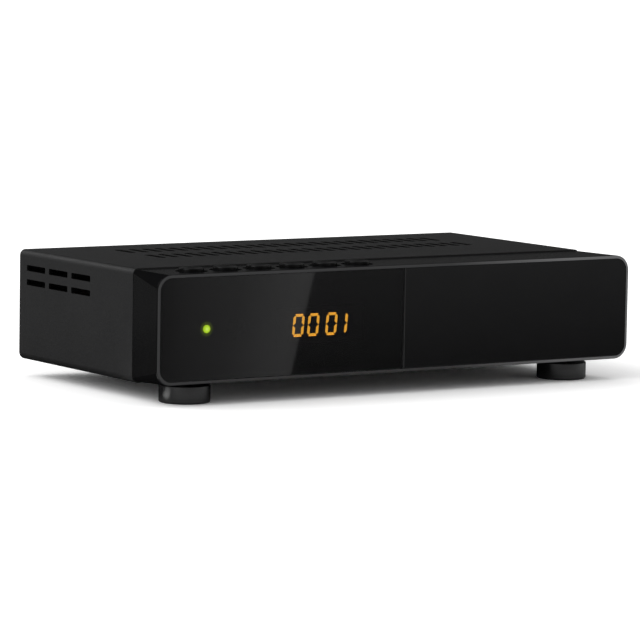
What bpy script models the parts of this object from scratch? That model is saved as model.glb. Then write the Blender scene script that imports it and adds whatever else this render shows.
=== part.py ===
"""Satellite TV receiver on four feet, modelled piece by piece in metres.

X runs along the front panel, +Y to the rear and +Z up. The floor is z = 0.
"""

import math

import bmesh
import bpy
from mathutils import Matrix, Vector

# Overall sizes
CASE_WIDTH = 0.1604
CASE_HEIGHT = 0.0334
CASE_DEPTH = 0.0674
BEZEL_DEPTH = 0.0206
PLATE_OVERHANG = 0.0038
PLATE_RISE = 0.0014
PLATE_DROP = 0.0002
PLATE_CORNER = 0.0047
STANDING_HEIGHT = 0.0051
LNB_REACH = 0.010

# Shared fits
GAP = 0.0003
OVERRUN = 0.002
SHARP_ANGLE = math.radians(32)
ROUND_SIDES = 24
SMALL_SIDES = 12
ARC_STEPS = 5

# Folded cover; its vents are placed from the rear edge
SHEET = 0.0008
TOP_FOLD = 0.0018
BOTTOM_FOLD = 0.0022
COVER_LIP = 0.006
TOP_VENT_COUNT = 25
TOP_VENT_PITCH = 0.00456
TOP_VENT_FIRST = -0.0530
TOP_VENT_LENGTH = 0.0105
TOP_VENT_WIDTH = 0.0019
TOP_VENT_ROWS = (0.0366, 0.0189)
SIDE_VENT_LENGTH = 0.0112
SIDE_VENT_HEIGHT = 0.0018
SIDE_VENT_PITCH = 0.0135
SIDE_VENT_COUNT = 3
SIDE_VENT_LAST = 0.0101
SIDE_VENT_DROPS = (0.0053, 0.0096)
COVER_TAB = (0.010, 0.0085)

# Base tray and rear panel
TRAY_SHEET = 0.001
TRAY_FLANGE = 0.008
EAR_WIDTH = 0.009
EAR_HEIGHT = 0.0085
PANEL_SHEET = 0.0008
PANEL_INSET = 0.0003

# Front fascia; the seam is measured from the plate's left end
RIM_WIDTH = 0.0009
RIM_ROUND = 0.0003
RIM_DEPTH = 0.0008
POCKET_DEPTH = 0.0026
FRONT_WALL = 0.002
BEZEL_WALL = 0.002
BEZEL_STEP = 0.0004
BEZEL_CORNER = 0.0013
INNER_CORNER = 0.0005
SEAM_INSET = 0.0849
PANE_SINK = 0.0002
FASCIA_TAB = (0.012, 0.008, 0.0018)
FASCIA_TAB_ROOT = 0.006
FASCIA_TAB_PLACES_SHARE = (-0.62, 0.62)

# Feet
FOOT_RADIUS = 0.00755
FOOT_INSET = 0.0163
FOOT_FORWARD = 0.0089
FOOT_ROUND = 0.0007
FOOT_DISH = 0.0005
FOOT_DISH_RADIUS = 0.005
REAR_FOOT_RADIUS = 0.006
REAR_FOOT_SIDE_INSET = 0.0316
REAR_FOOT_INSET = 0.014
PEG_RADIUS = 0.002
PEG_LENGTH = 0.0026
PAD_LIFT = 0.0001

# Front buttons and their switches; the first button is measured from the plate's left end
BUTTON_COUNT = 6
BUTTON_PITCH = 0.01146
BUTTON_INSET = 0.0168
BUTTON_DEPTH = 0.0095
BUTTON_RADIUS = 0.0037
BUTTON_PROUD = 0.001
BUTTON_ROUND = 0.0004
BUTTON_HOLLOW = 0.00025
BUTTON_FLANGE = 0.0046
BUTTON_FLANGE_THICKNESS = 0.0008
BUTTON_STEM = 0.0015
BUTTON_STEM_LENGTH = 0.0011
BUTTON_TRAVEL = 0.0005
DISH_RADIUS = 0.0048
DISH_DEPTH = 0.0007
SWITCH_SIDE = 0.006
SWITCH_HEIGHT = 0.0034
SWITCH_PLUNGER = 0.0017
SWITCH_PLUNGER_HEIGHT = 0.0008

# Boards inside the fascia; places are from the plate's left end and down from its top
BOARD = 0.0016
KEY_BOARD_DEPTH = 0.0104
KEY_BOARD_MARGIN = 0.006
LEDGE_DEPTH = 0.0036
LEDGE_THICKNESS = 0.0015
LEDGE_END = 0.0055
FRONT_BOARD_DROP = 0.0120
FRONT_BOARD_LIFT = 0.0032
DISPLAY_PLACE = (0.0571, 0.0167)
DISPLAY_SIZE = (0.0302, 0.0100, 0.0062)
DISPLAY_FACE_ROUND = 0.0004
LED_PLACE = (0.0180, 0.0163)
LED_RADIUS = 0.0015
LED_COLLAR = 0.0019
LED_COLLAR_LENGTH = 0.0010
IR_PLACE = (0.0280, 0.0163)
IR_SIZE = (0.0056, 0.0056, 0.0030)
IR_LENS = 0.0022
POST_RADIUS = 0.0025
POST_HEIGHT = 0.0060
POST_INSET = 0.0045

# Screws
SCREW_HEAD = 0.0026
SCREW_HEAD_HEIGHT = 0.0015
SCREW_SHANK = 0.0012
SCREW_LENGTH = 0.0052
SCREW_SLOT = 0.0006
SCREW_SLOT_LENGTH = 0.0032
SCREW_SLOT_DEPTH = 0.0007

# Main board; places are from the middle, insets from an end, both with the distance from the
# case's front edge
MAIN_BOARD_SIDE_GAP = 0.0035
MAIN_BOARD_FRONT = 0.0075
MAIN_BOARD_END_GAP = 0.0035
STANDOFF_HEIGHT = 0.003
STANDOFF_RADIUS = 0.003
STANDOFF_INSET = 0.0027
PROCESSOR_SIZE = (0.021, 0.021, 0.0018)
PROCESSOR_PLACE = (0.004, 0.028)
SINK_SIDE = 0.025
SINK_BASE = 0.002
SINK_HEIGHT = 0.011
SINK_FINS = 6
SINK_FIN = 0.0014
MEMORY_SIZE = (0.014, 0.009, 0.0012)
MEMORY_PLACE = (-0.022, 0.028)
CAPACITOR_INSETS = ((0.011, 0.024), (0.023, 0.024), (0.034, 0.026))
CAPACITOR_RADII = (0.0050, 0.0050, 0.0040)
CAPACITOR_HEIGHTS = (0.016, 0.016, 0.012)
CAPACITOR_GROOVE = 0.0004
CAPACITOR_ROUND = 0.0005
COIL_INSET = (0.016, 0.037)
COIL_RADIUS = 0.006
COIL_HEIGHT = 0.006
COIL_WAIST = 0.0012
CRYSTAL_SIZE = (0.011, 0.0046, 0.0035)
CRYSTAL_PLACE = (0.028, 0.022)
LINK_SIZE = (0.016, 0.0055, 0.006)
LINK_PLACE = (-0.030, 0.0115)
RIBBON_WIDTH = 0.012
RIBBON_SHEET = 0.0008
RIBBON_DROP = 0.0027
RIBBON_BEND = 0.004

# Rear sockets: inset from the board's nearer end, then width, height and depth
TUNER_INSET = 0.0180
TUNER_SIZE = (0.022, 0.014, 0.034)
TUNER_SET_BACK = 0.0015
LNB_RADIUS = 0.00475
LNB_THREADS = 6
LNB_THREAD_DEPTH = 0.0004
LNB_CORE_HOLE = 0.0007
LNB_CORE_DEPTH = 0.006
LNB_LIFT = 0.0070
NUT_HALF_FLATS = 0.0057
NUT_HEIGHT = 0.0025
HDMI_INSET = 0.0378
HDMI_SHELL = (0.0150, 0.0060, 0.0120)
HDMI_CAVITY = (0.0140, 0.0047, 0.0095)
HDMI_TONGUE = (0.0112, 0.0010)
HDMI_CHAMFER = 0.0012
USB_INSET = 0.0560
USB_SHELL = (0.0145, 0.0070, 0.0140)
USB_CAVITY = (0.0128, 0.0053, 0.0110)
USB_TONGUE = (0.0110, 0.0019)
USB_CHAMFER = 0.0004
SCART_INSET = 0.0585
SCART_SHELL = (0.0470, 0.0165, 0.0150)
SCART_CAVITY = (0.0440, 0.0132, 0.0120)
SCART_TONGUE = (0.0385, 0.0082)
SCART_CHAMFER = 0.0036
TONGUE_SET_BACK = 0.0046
SOCKET_PROUD = 0.0006
AUDIO_INSET = 0.0260
AUDIO_BODY = (0.0100, 0.0125, 0.0095)
AUDIO_BARREL = 0.00415
AUDIO_REACH = 0.0085
AUDIO_PIN_HOLE = 0.0016
AUDIO_LIFT = 0.0070
AUDIO_RING = 0.0006
POWER_INSET = 0.0115
POWER_BODY = (0.0092, 0.0110, 0.0135)
POWER_HOLE = 0.0031
POWER_PIN = 0.0010
POWER_HOLE_DEPTH = 0.0095
POWER_LIFT = 0.0062
REAR_SCREW_INSET = 0.0048
REAR_SCREW_DROP = 0.0050
REAR_SCREW_LIFT = 0.0052

# Places worked out from the sizes above
PLATE_WIDTH = CASE_WIDTH + 2 * PLATE_OVERHANG
PLATE_HEIGHT = CASE_HEIGHT - PLATE_RISE - PLATE_DROP
PLATE_LEFT = -PLATE_WIDTH / 2
BODY_DEPTH = BEZEL_DEPTH + CASE_DEPTH
FRONT = -(BODY_DEPTH + LNB_REACH) / 2
CASE_FRONT = FRONT + BEZEL_DEPTH
REAR = FRONT + BODY_DEPTH
CASE_BOTTOM = STANDING_HEIGHT
CASE_TOP = CASE_BOTTOM + CASE_HEIGHT
CASE_MIDDLE = (CASE_BOTTOM + CASE_TOP) / 2
PLATE_BOTTOM = CASE_BOTTOM + PLATE_RISE
PLATE_TOP = PLATE_BOTTOM + PLATE_HEIGHT
PLATE_MIDDLE = (PLATE_BOTTOM + PLATE_TOP) / 2
SEAM_PLACE = PLATE_LEFT + SEAM_INSET
FASCIA_REAR = CASE_FRONT - GAP
BEZEL_START = FRONT + RIM_DEPTH
WALL_FRONT = FRONT + POCKET_DEPTH
WALL_REAR = WALL_FRONT + FRONT_WALL
TRAY_BOTTOM = CASE_BOTTOM + SHEET + GAP
TRAY_TOP = TRAY_BOTTOM + TRAY_SHEET
TRAY_HALF = CASE_WIDTH / 2 - SHEET - GAP
PANEL_REAR = REAR - PANEL_INSET
PANEL_FRONT = PANEL_REAR - PANEL_SHEET
EAR_REAR = PANEL_FRONT - GAP
BOARD_HALF = TRAY_HALF - TRAY_SHEET - MAIN_BOARD_SIDE_GAP
BOARD_BOTTOM = TRAY_TOP + STANDOFF_HEIGHT + GAP
BOARD_TOP = BOARD_BOTTOM + BOARD
PARTS_SEAT = BOARD_TOP + GAP
BOARD_FRONT = CASE_FRONT + MAIN_BOARD_FRONT
BOARD_REAR = EAR_REAR - TRAY_SHEET - MAIN_BOARD_END_GAP
POWER_PLACE = POWER_INSET - BOARD_HALF
AUDIO_PLACE = AUDIO_INSET - BOARD_HALF
SCART_PLACE = SCART_INSET - BOARD_HALF
USB_PLACE = BOARD_HALF - USB_INSET
HDMI_PLACE = BOARD_HALF - HDMI_INSET
TUNER_PLACE = BOARD_HALF - TUNER_INSET
BUTTON_FIRST = PLATE_LEFT + BUTTON_INSET
BUTTON_ROW = FRONT + BUTTON_DEPTH
SCREW_HOLE = SCREW_SHANK + GAP
SCREW_SEAT = PANEL_REAR + GAP
DISPLAY_FRONT = WALL_FRONT + GAP
FRONT_BOARD_FACE = DISPLAY_FRONT + DISPLAY_SIZE[2] + GAP


def bezel_share(depth_place):
    """How far from the plate's rim to the case's edge a place along Y is, from 0 to 1."""
    return (depth_place - BEZEL_START) / (FASCIA_REAR - BEZEL_START)


def bezel_at(depth_place, inset):
    """Half width, half height, corner radius and middle height of the bezel at a place along Y."""
    share = bezel_share(depth_place)
    half_width = PLATE_WIDTH / 2 + share * (CASE_WIDTH / 2 - BEZEL_STEP - PLATE_WIDTH / 2)
    half_height = PLATE_HEIGHT / 2 + share * (CASE_HEIGHT / 2 - BEZEL_STEP - PLATE_HEIGHT / 2)
    corner = PLATE_CORNER + share * (BEZEL_CORNER - PLATE_CORNER)
    middle = PLATE_MIDDLE + share * (CASE_MIDDLE - PLATE_MIDDLE)
    return half_width - inset, half_height - inset, max(corner - inset, INNER_CORNER), middle


def bezel_top(depth_place, inset):
    """Height of the bezel's upper wall at a place along Y."""
    _, half_height, _, middle = bezel_at(depth_place, inset)
    return middle + half_height


BUTTON_SURFACE = bezel_top(BUTTON_ROW, 0)
BUTTON_FLANGE_TOP = bezel_top(BUTTON_ROW + BUTTON_FLANGE, BEZEL_WALL) - GAP
BUTTON_STEM_END = BUTTON_FLANGE_TOP - BUTTON_FLANGE_THICKNESS - BUTTON_STEM_LENGTH
SWITCH_TOP = BUTTON_STEM_END - BUTTON_TRAVEL - GAP
SWITCH_SEAT = SWITCH_TOP - SWITCH_PLUNGER_HEIGHT - SWITCH_HEIGHT
KEY_BOARD_TOP = SWITCH_SEAT - GAP
KEY_BOARD_BOTTOM = KEY_BOARD_TOP - BOARD
KEY_BOARD_LEFT = BUTTON_FIRST - KEY_BOARD_MARGIN
KEY_BOARD_RIGHT = BUTTON_FIRST + (BUTTON_COUNT - 1) * BUTTON_PITCH + KEY_BOARD_MARGIN
FRONT_BOARD_BOTTOM = PLATE_BOTTOM + FRONT_BOARD_LIFT
FRONT_BOARD_TOP = PLATE_TOP - FRONT_BOARD_DROP
FRONT_BOARD_REAR = FRONT_BOARD_FACE + BOARD
POST_PLACES = (KEY_BOARD_LEFT + POST_INSET, KEY_BOARD_RIGHT - POST_INSET)
POST_LEVEL = PLATE_BOTTOM + POST_HEIGHT


def on_plate(place):
    """Where a place measured from the plate's left end and its top lies, as (x, z)."""
    return PLATE_LEFT + place[0], PLATE_TOP - place[1]


def on_board(inset):
    """Where an inset from the main board's left end and the case's front lies, as (x, y)."""
    return inset[0] - BOARD_HALF, CASE_FRONT + inset[1]


def clear_scene():
    for old in list(bpy.data.objects):
        bpy.data.objects.remove(old, do_unlink=True)


def finish(name, colour, roughness, metallic=0.0):
    """A Principled BSDF material with a plain colour."""
    material = bpy.data.materials.new(name)
    material.use_nodes = True
    shader = material.node_tree.nodes["Principled BSDF"]
    shader.inputs["Base Color"].default_value = (*colour, 1.0)
    shader.inputs["Roughness"].default_value = roughness
    shader.inputs["Metallic"].default_value = metallic
    material.diffuse_color = (*colour, 1.0)
    return material


def add_box(shape, low, high):
    """Adds a closed box between two corners."""
    low, high = Vector(low), Vector(high)
    place = Matrix.Translation((low + high) / 2) @ Matrix.Diagonal((*(high - low), 1))
    bmesh.ops.create_cube(shape, size=1, matrix=place)


def add_prism(shape, outline, low, high, axis="Y"):
    """Adds an outline extruded between two places along an axis.

    The outline's points are (x, z) for axis Y, (x, y) for axis Z and (y, z) for axis X.
    """
    order = {
        "X": lambda a, b, along: (along, a, b),
        "Y": lambda a, b, along: (a, along, b),
        "Z": lambda a, b, along: (a, b, along),
    }[axis]
    ends = [[shape.verts.new(order(a, b, along)) for a, b in outline] for along in (low, high)]
    faces = [shape.faces.new(ends[0]), shape.faces.new(ends[1])]
    faces += bridge(shape, ends[0], ends[1])
    bmesh.ops.recalc_face_normals(shape, faces=faces)


def bridge(shape, first, second):
    """Joins two rings of points with four-sided faces."""
    count = len(first)
    faces = []
    for here in range(count):
        after = (here + 1) % count
        faces.append(shape.faces.new((first[here], first[after], second[after], second[here])))
    return faces


def add_turned(shape, profile, place, axis="Z", sides=ROUND_SIDES):
    """Adds a solid of revolution. The profile is (radius, height) from the axis back to the axis."""
    turn = {
        "Z": Matrix.Identity(4),
        "-Z": Matrix.Rotation(math.pi, 4, "X"),
        "Y": Matrix.Rotation(-math.pi / 2, 4, "X"),
        "-Y": Matrix.Rotation(math.pi / 2, 4, "X"),
    }[axis]
    where = Matrix.Translation(place) @ turn
    angles = [2 * math.pi * step / sides for step in range(sides)]
    rings = []
    for radius, height in profile[1:-1]:
        ring = [Vector((radius * math.cos(a), radius * math.sin(a), height)) for a in angles]
        rings.append([shape.verts.new(where @ point) for point in ring])
    faces = []
    for first, second in zip(rings, rings[1:]):
        faces += bridge(shape, first, second)
    faces.append(shape.faces.new(rings[0]))
    faces.append(shape.faces.new(rings[-1]))
    bmesh.ops.recalc_face_normals(shape, faces=faces)


def rod_profile(radius, low, high):
    return [(0, low), (radius, low), (radius, high), (0, high)]


def arc(centre, radius, start, end, steps=ARC_STEPS):
    """Points of an arc between two angles in degrees."""
    points = []
    for step in range(steps + 1):
        angle = math.radians(start + (end - start) * step / steps)
        points.append((centre[0] + radius * math.cos(angle), centre[1] + radius * math.sin(angle)))
    return points


def rounded_outline(half_width, half_height, corner, middle=(0, 0), steps=ARC_STEPS):
    """Rounded rectangle that starts at its upper right corner and runs anticlockwise."""
    x, z = middle
    right, top = half_width - corner, half_height - corner
    return (
        arc((x + right, z + top), corner, 0, 90, steps)
        + arc((x - right, z + top), corner, 90, 180, steps)
        + arc((x - right, z - top), corner, 180, 270, steps)
        + arc((x + right, z - top), corner, 270, 360, steps)
    )


def slot_outline(length, width, middle):
    """Slot with round ends that is longest along the outline's second direction."""
    reach = (length - width) / 2
    x, y = middle
    return arc((x, y + reach), width / 2, 0, 180, 3) + arc((x, y - reach), width / 2, 180, 360, 3)


def make(name, shape, material=None, origin=(0, 0, 0)):
    """Turns a shape into an object whose origin is at the given point."""
    bmesh.ops.translate(shape, verts=shape.verts, vec=-Vector(origin))
    mesh = bpy.data.meshes.new(name)
    shape.to_mesh(mesh)
    shape.free()
    mesh.shade_smooth()
    mesh.set_sharp_from_angle(angle=SHARP_ANGLE)
    made = bpy.data.objects.new(name, mesh)
    made.location = origin
    bpy.context.scene.collection.objects.link(made)
    if material:
        mesh.materials.append(material)
    return made


def helper(name, shape):
    """A cutter or an added form that isn't a piece itself."""
    made = make(name, shape)
    made.hide_render = True
    made.display_type = "WIRE"
    return made


def combine(target, tool, operation):
    step = target.modifiers.new(tool.name, "BOOLEAN")
    step.object = tool
    step.operation = operation
    step.solver = "EXACT"


def copy_piece(original, name, place):
    """Another object with the same mesh at another place."""
    made = bpy.data.objects.new(name, original.data)
    made.location = place
    made.rotation_euler = original.rotation_euler
    bpy.context.scene.collection.objects.link(made)
    return made


def cover_outline():
    """Section of the folded sheet across the case: top, sides and in-turned lips."""
    half = CASE_WIDTH / 2
    outline = []
    for inset in (0, SHEET):
        low, high = CASE_BOTTOM + inset, CASE_TOP - inset
        side = half - inset
        bottom, top = BOTTOM_FOLD - inset, TOP_FOLD - inset
        path = [(-(half - COVER_LIP), low)]
        path += arc((-(side - bottom), low + bottom), bottom, 270, 180)
        path += arc((-(side - top), high - top), top, 180, 90)
        path += arc((side - top, high - top), top, 90, 0)
        path += arc((side - bottom, low + bottom), bottom, 0, -90)
        path.append((half - COVER_LIP, low))
        outline += path if inset == 0 else path[::-1]
    return outline


def top_vents():
    """Two rows of slots that run front to back across the cover's top."""
    shape = bmesh.new()
    for row in TOP_VENT_ROWS:
        for number in range(TOP_VENT_COUNT):
            middle = (TOP_VENT_FIRST + number * TOP_VENT_PITCH, REAR - row)
            outline = slot_outline(TOP_VENT_LENGTH, TOP_VENT_WIDTH, middle)
            add_prism(shape, outline, CASE_TOP - SHEET - OVERRUN / 2, CASE_TOP + OVERRUN, "Z")
    return helper("cut_top_vents", shape)


def side_vents():
    """Two rows of three slots, cut through both sides at once."""
    shape = bmesh.new()
    reach = CASE_WIDTH / 2 + OVERRUN
    for drop in SIDE_VENT_DROPS:
        for number in range(SIDE_VENT_COUNT):
            along = REAR - SIDE_VENT_LAST - number * SIDE_VENT_PITCH
            level = CASE_TOP - drop
            low = (-reach, along - SIDE_VENT_LENGTH / 2, level - SIDE_VENT_HEIGHT / 2)
            high = (reach, along + SIDE_VENT_LENGTH / 2, level + SIDE_VENT_HEIGHT / 2)
            add_box(shape, low, high)
    return helper("cut_side_vents", shape)


def upper_screw_places():
    across = TRAY_HALF - REAR_SCREW_INSET - COVER_TAB[0] / 2
    return [(side * across, CASE_TOP - SHEET - REAR_SCREW_DROP) for side in (-1, 1)]


def lower_screw_places():
    across = TRAY_HALF - REAR_SCREW_INSET
    return [(side * across, TRAY_TOP + REAR_SCREW_LIFT) for side in (-1, 1)]


def screw_holes(name, places, low, high):
    shape = bmesh.new()
    for across, level in places:
        add_turned(shape, rod_profile(SCREW_HOLE, 0, high - low), (across, low, level), "Y", SMALL_SIDES)
    return helper(name, shape)


def make_cover(material):
    shape = bmesh.new()
    add_prism(shape, cover_outline(), CASE_FRONT, REAR)
    cover = make("top_cover", shape, material)
    tabs = bmesh.new()
    for across, _ in upper_screw_places():
        low = (across - COVER_TAB[0] / 2, EAR_REAR - SHEET, CASE_TOP - SHEET - COVER_TAB[1])
        high = (across + COVER_TAB[0] / 2, EAR_REAR, CASE_TOP - SHEET / 2)
        add_box(tabs, low, high)
    combine(cover, helper("add_cover_tabs", tabs), "UNION")
    combine(cover, top_vents(), "DIFFERENCE")
    combine(cover, side_vents(), "DIFFERENCE")
    low, high = EAR_REAR - SHEET - OVERRUN, EAR_REAR + GAP / 2
    combine(cover, screw_holes("cut_cover_tabs", upper_screw_places(), low, high), "DIFFERENCE")
    return cover


def standoff_places():
    across = BOARD_HALF - STANDOFF_INSET
    ends = (BOARD_FRONT + STANDOFF_INSET, BOARD_REAR - STANDOFF_INSET)
    return [(side * across, end) for end in ends for side in (-1, 1)]


def rear_foot_places():
    across = CASE_WIDTH / 2 - REAR_FOOT_SIDE_INSET
    return [(side * across, REAR - REAR_FOOT_INSET) for side in (-1, 1)]


def front_foot_places():
    across = PLATE_WIDTH / 2 - FOOT_INSET
    return [(side * across, CASE_FRONT - FOOT_FORWARD) for side in (-1, 1)]


def fascia_tab_places():
    return [share * CASE_WIDTH / 2 for share in FASCIA_TAB_PLACES_SHARE]


def fascia_screw_along():
    return FASCIA_REAR + GAP + FASCIA_TAB[1] / 2


def make_tray(material):
    """Shallow folded tray with standoffs for the board and two ears for the rear panel."""
    low_y, high_y = CASE_FRONT + GAP, EAR_REAR
    flange_top = TRAY_BOTTOM + TRAY_FLANGE
    inner = TRAY_HALF - TRAY_SHEET
    fold = BOTTOM_FOLD - SHEET - GAP
    outline = [(-TRAY_HALF, flange_top)]
    outline += arc((fold - TRAY_HALF, TRAY_BOTTOM + fold), fold, 180, 270, 4)
    outline += arc((TRAY_HALF - fold, TRAY_BOTTOM + fold), fold, 270, 360, 4)
    outline += [
        (TRAY_HALF, flange_top),
        (inner, flange_top),
        (inner, TRAY_TOP),
        (-inner, TRAY_TOP),
        (-inner, flange_top),
    ]
    shape = bmesh.new()
    add_prism(shape, outline, low_y, high_y)
    tray = make("base_tray", shape, material)
    extra = bmesh.new()
    for across, along in standoff_places():
        profile = rod_profile(STANDOFF_RADIUS, 0, TRAY_SHEET / 2 + STANDOFF_HEIGHT)
        add_turned(extra, profile, (across, along, TRAY_TOP - TRAY_SHEET / 2), sides=SMALL_SIDES)
    for side in (-1, 1):
        ends = sorted((side * (TRAY_HALF - EAR_WIDTH), side * (TRAY_HALF - TRAY_SHEET / 2)))
        low = (ends[0], high_y - TRAY_SHEET, TRAY_BOTTOM + TRAY_SHEET / 2)
        add_box(extra, low, (ends[1], high_y, TRAY_TOP + EAR_HEIGHT))
    combine(tray, helper("add_tray_forms", extra), "UNION")
    holes = bmesh.new()
    for across, along in standoff_places():
        start = (across, along, TRAY_BOTTOM - OVERRUN)
        height = OVERRUN * 2 + TRAY_SHEET + STANDOFF_HEIGHT
        add_turned(holes, rod_profile(SCREW_HOLE, 0, height), start, sides=SMALL_SIDES)
    for across, along in rear_foot_places():
        start = (across, along, TRAY_BOTTOM - OVERRUN)
        height = OVERRUN * 2 + TRAY_SHEET
        add_turned(holes, rod_profile(PEG_RADIUS + GAP, 0, height), start, sides=SMALL_SIDES)
    for across in fascia_tab_places():
        start = (across, fascia_screw_along(), TRAY_BOTTOM - OVERRUN)
        height = OVERRUN * 2 + TRAY_SHEET
        add_turned(holes, rod_profile(SCREW_HOLE, 0, height), start, sides=SMALL_SIDES)
    combine(tray, helper("cut_tray_holes", holes), "DIFFERENCE")
    low, high = high_y - TRAY_SHEET - OVERRUN, high_y + OVERRUN
    combine(tray, screw_holes("cut_tray_ears", lower_screw_places(), low, high), "DIFFERENCE")
    return tray


def chamfered_outline(width, height, chamfer, middle):
    """Rectangle with its two lower corners cut off."""
    x, z = middle
    right, top = width / 2, height / 2
    return [
        (x - right, z + top),
        (x - right, z - top + chamfer),
        (x - right + chamfer, z - top),
        (x + right - chamfer, z - top),
        (x + right, z - top + chamfer),
        (x + right, z + top),
    ]


def shell_sockets():
    """Name, place, shell, cavity, tongue and chamfer of the sockets with a metal or plastic shell."""
    return [
        ("hdmi_socket", HDMI_PLACE, HDMI_SHELL, HDMI_CAVITY, HDMI_TONGUE, HDMI_CHAMFER),
        ("usb_socket", USB_PLACE, USB_SHELL, USB_CAVITY, USB_TONGUE, USB_CHAMFER),
        ("scart_socket", SCART_PLACE, SCART_SHELL, SCART_CAVITY, SCART_TONGUE, SCART_CHAMFER),
    ]


def make_rear_panel(material):
    top = CASE_TOP - SHEET - GAP
    upper = TOP_FOLD - SHEET - GAP
    lower = BOTTOM_FOLD - SHEET - GAP
    outline = arc((TRAY_HALF - upper, top - upper), upper, 0, 90, 4)
    outline += arc((upper - TRAY_HALF, top - upper), upper, 90, 180, 4)
    outline += arc((lower - TRAY_HALF, TRAY_BOTTOM + lower), lower, 180, 270, 4)
    outline += arc((TRAY_HALF - lower, TRAY_BOTTOM + lower), lower, 270, 360, 4)
    shape = bmesh.new()
    add_prism(shape, outline, PANEL_FRONT, PANEL_REAR)
    panel = make("rear_panel", shape, material)
    holes = bmesh.new()
    start, end = PANEL_FRONT - OVERRUN, PANEL_REAR + OVERRUN
    for _, place, shell, _, _, _ in shell_sockets():
        middle = (place, PARTS_SEAT + shell[1] / 2)
        corner = (shell[0] / 2 + GAP, shell[1] / 2 + GAP)
        add_box(
            holes,
            (middle[0] - corner[0], start, middle[1] - corner[1]),
            (middle[0] + corner[0], end, middle[1] + corner[1]),
        )
    rounds = (
        (TUNER_PLACE, LNB_LIFT, LNB_RADIUS),
        (AUDIO_PLACE, AUDIO_LIFT, AUDIO_BARREL + AUDIO_RING),
        (POWER_PLACE, POWER_LIFT, POWER_HOLE + GAP),
    )
    for place, lift, radius in rounds:
        profile = rod_profile(radius + GAP, 0, end - start)
        add_turned(holes, profile, (place, start, PARTS_SEAT + lift), "Y")
    combine(panel, helper("cut_socket_holes", holes), "DIFFERENCE")
    places = upper_screw_places() + lower_screw_places()
    combine(panel, screw_holes("cut_panel_screws", places, start, end), "DIFFERENCE")
    return panel


def fascia_shell():
    """The bezel as one surface: rim, pocket, outer loft, inner loft and front wall."""
    rings = []

    def ring(half_width, half_height, corner, middle, along):
        outline = rounded_outline(half_width, half_height, corner, (0, middle))
        rings.append([shape.verts.new((x, along, z)) for x, z in outline])

    shape = bmesh.new()
    half_width, half_height = PLATE_WIDTH / 2, PLATE_HEIGHT / 2
    rim = (half_width - RIM_WIDTH, half_height - RIM_WIDTH, PLATE_CORNER - RIM_WIDTH, PLATE_MIDDLE)
    edge = (half_width - RIM_ROUND, half_height - RIM_ROUND, PLATE_CORNER - RIM_ROUND, PLATE_MIDDLE)
    full = (half_width, half_height, PLATE_CORNER, PLATE_MIDDLE)
    ring(*rim, WALL_FRONT)
    ring(*rim, FRONT)
    ring(*edge, FRONT)
    ring(*full, FRONT + RIM_ROUND)
    ring(*full, BEZEL_START)
    ring(*bezel_at(FASCIA_REAR, 0), FASCIA_REAR)
    ring(*bezel_at(FASCIA_REAR, BEZEL_WALL), FASCIA_REAR)
    ring(*bezel_at(WALL_REAR, BEZEL_WALL), WALL_REAR)
    for first, second in zip(rings, rings[1:]):
        bridge(shape, first, second)
    shape.faces.new(rings[0])
    shape.faces.new(rings[-1])
    bmesh.ops.recalc_face_normals(shape, faces=shape.faces)
    return shape


def fascia_additions():
    """Posts, ledges, tabs and foot pads that stand on the bezel's inside and underside."""
    shape = bmesh.new()
    root = FRONT_WALL / 2
    for across in POST_PLACES:
        profile = rod_profile(POST_RADIUS, 0, FRONT_BOARD_FACE - GAP - WALL_REAR + root)
        add_turned(shape, profile, (across, WALL_REAR - root, POST_LEVEL), "Y", SMALL_SIDES)
    ledge_top = KEY_BOARD_BOTTOM - GAP
    display_left = on_plate(DISPLAY_PLACE)[0] - DISPLAY_SIZE[0] / 2
    display_right = display_left + DISPLAY_SIZE[0]
    for left, right in (
        (KEY_BOARD_LEFT, display_left - POST_RADIUS),
        (display_right + POST_RADIUS, KEY_BOARD_RIGHT + LEDGE_END),
    ):
        low = (left, WALL_REAR - root, ledge_top - LEDGE_THICKNESS)
        add_box(shape, low, (right, WALL_REAR + LEDGE_DEPTH, ledge_top))
    width, reach, thickness = FASCIA_TAB
    for across in fascia_tab_places():
        start = FASCIA_REAR - FASCIA_TAB_ROOT
        end = FASCIA_REAR + GAP + reach
        bottom = TRAY_TOP + GAP
        top = CASE_TOP - SHEET - GAP
        left, right = across - width / 2, across + width / 2
        add_box(shape, (left, start, bottom), (right, end, bottom + thickness))
        add_box(shape, (left, start, top - thickness), (right, end, top))
    for across, along in front_foot_places():
        low = foot_seat()
        profile = rod_profile(FOOT_RADIUS, 0, PLATE_BOTTOM + BEZEL_WALL / 2 - low)
        add_turned(shape, profile, (across, along, low))
    return helper("add_fascia_forms", shape)


def foot_seat():
    """Height of the flat pads under the bezel that the front feet meet."""
    return CASE_BOTTOM + GAP + PAD_LIFT


def fascia_openings():
    """Holes through the front wall for the display, the lamp and the infrared receiver."""
    shape = bmesh.new()
    start, length = WALL_FRONT - POCKET_DEPTH / 2, POCKET_DEPTH / 2 + FRONT_WALL + OVERRUN / 2
    across, level = on_plate(DISPLAY_PLACE)
    half = (DISPLAY_SIZE[0] / 2 + GAP, DISPLAY_SIZE[1] / 2 + GAP)
    low = (across - half[0], start, level - half[1])
    add_box(shape, low, (across + half[0], start + length, level + half[1]))
    for place, radius in ((LED_PLACE, LED_COLLAR), (IR_PLACE, IR_LENS)):
        across, level = on_plate(place)
        profile = rod_profile(radius + GAP, 0, length)
        add_turned(shape, profile, (across, start, level), "Y", SMALL_SIDES)
    return helper("cut_front_wall", shape)


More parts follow.
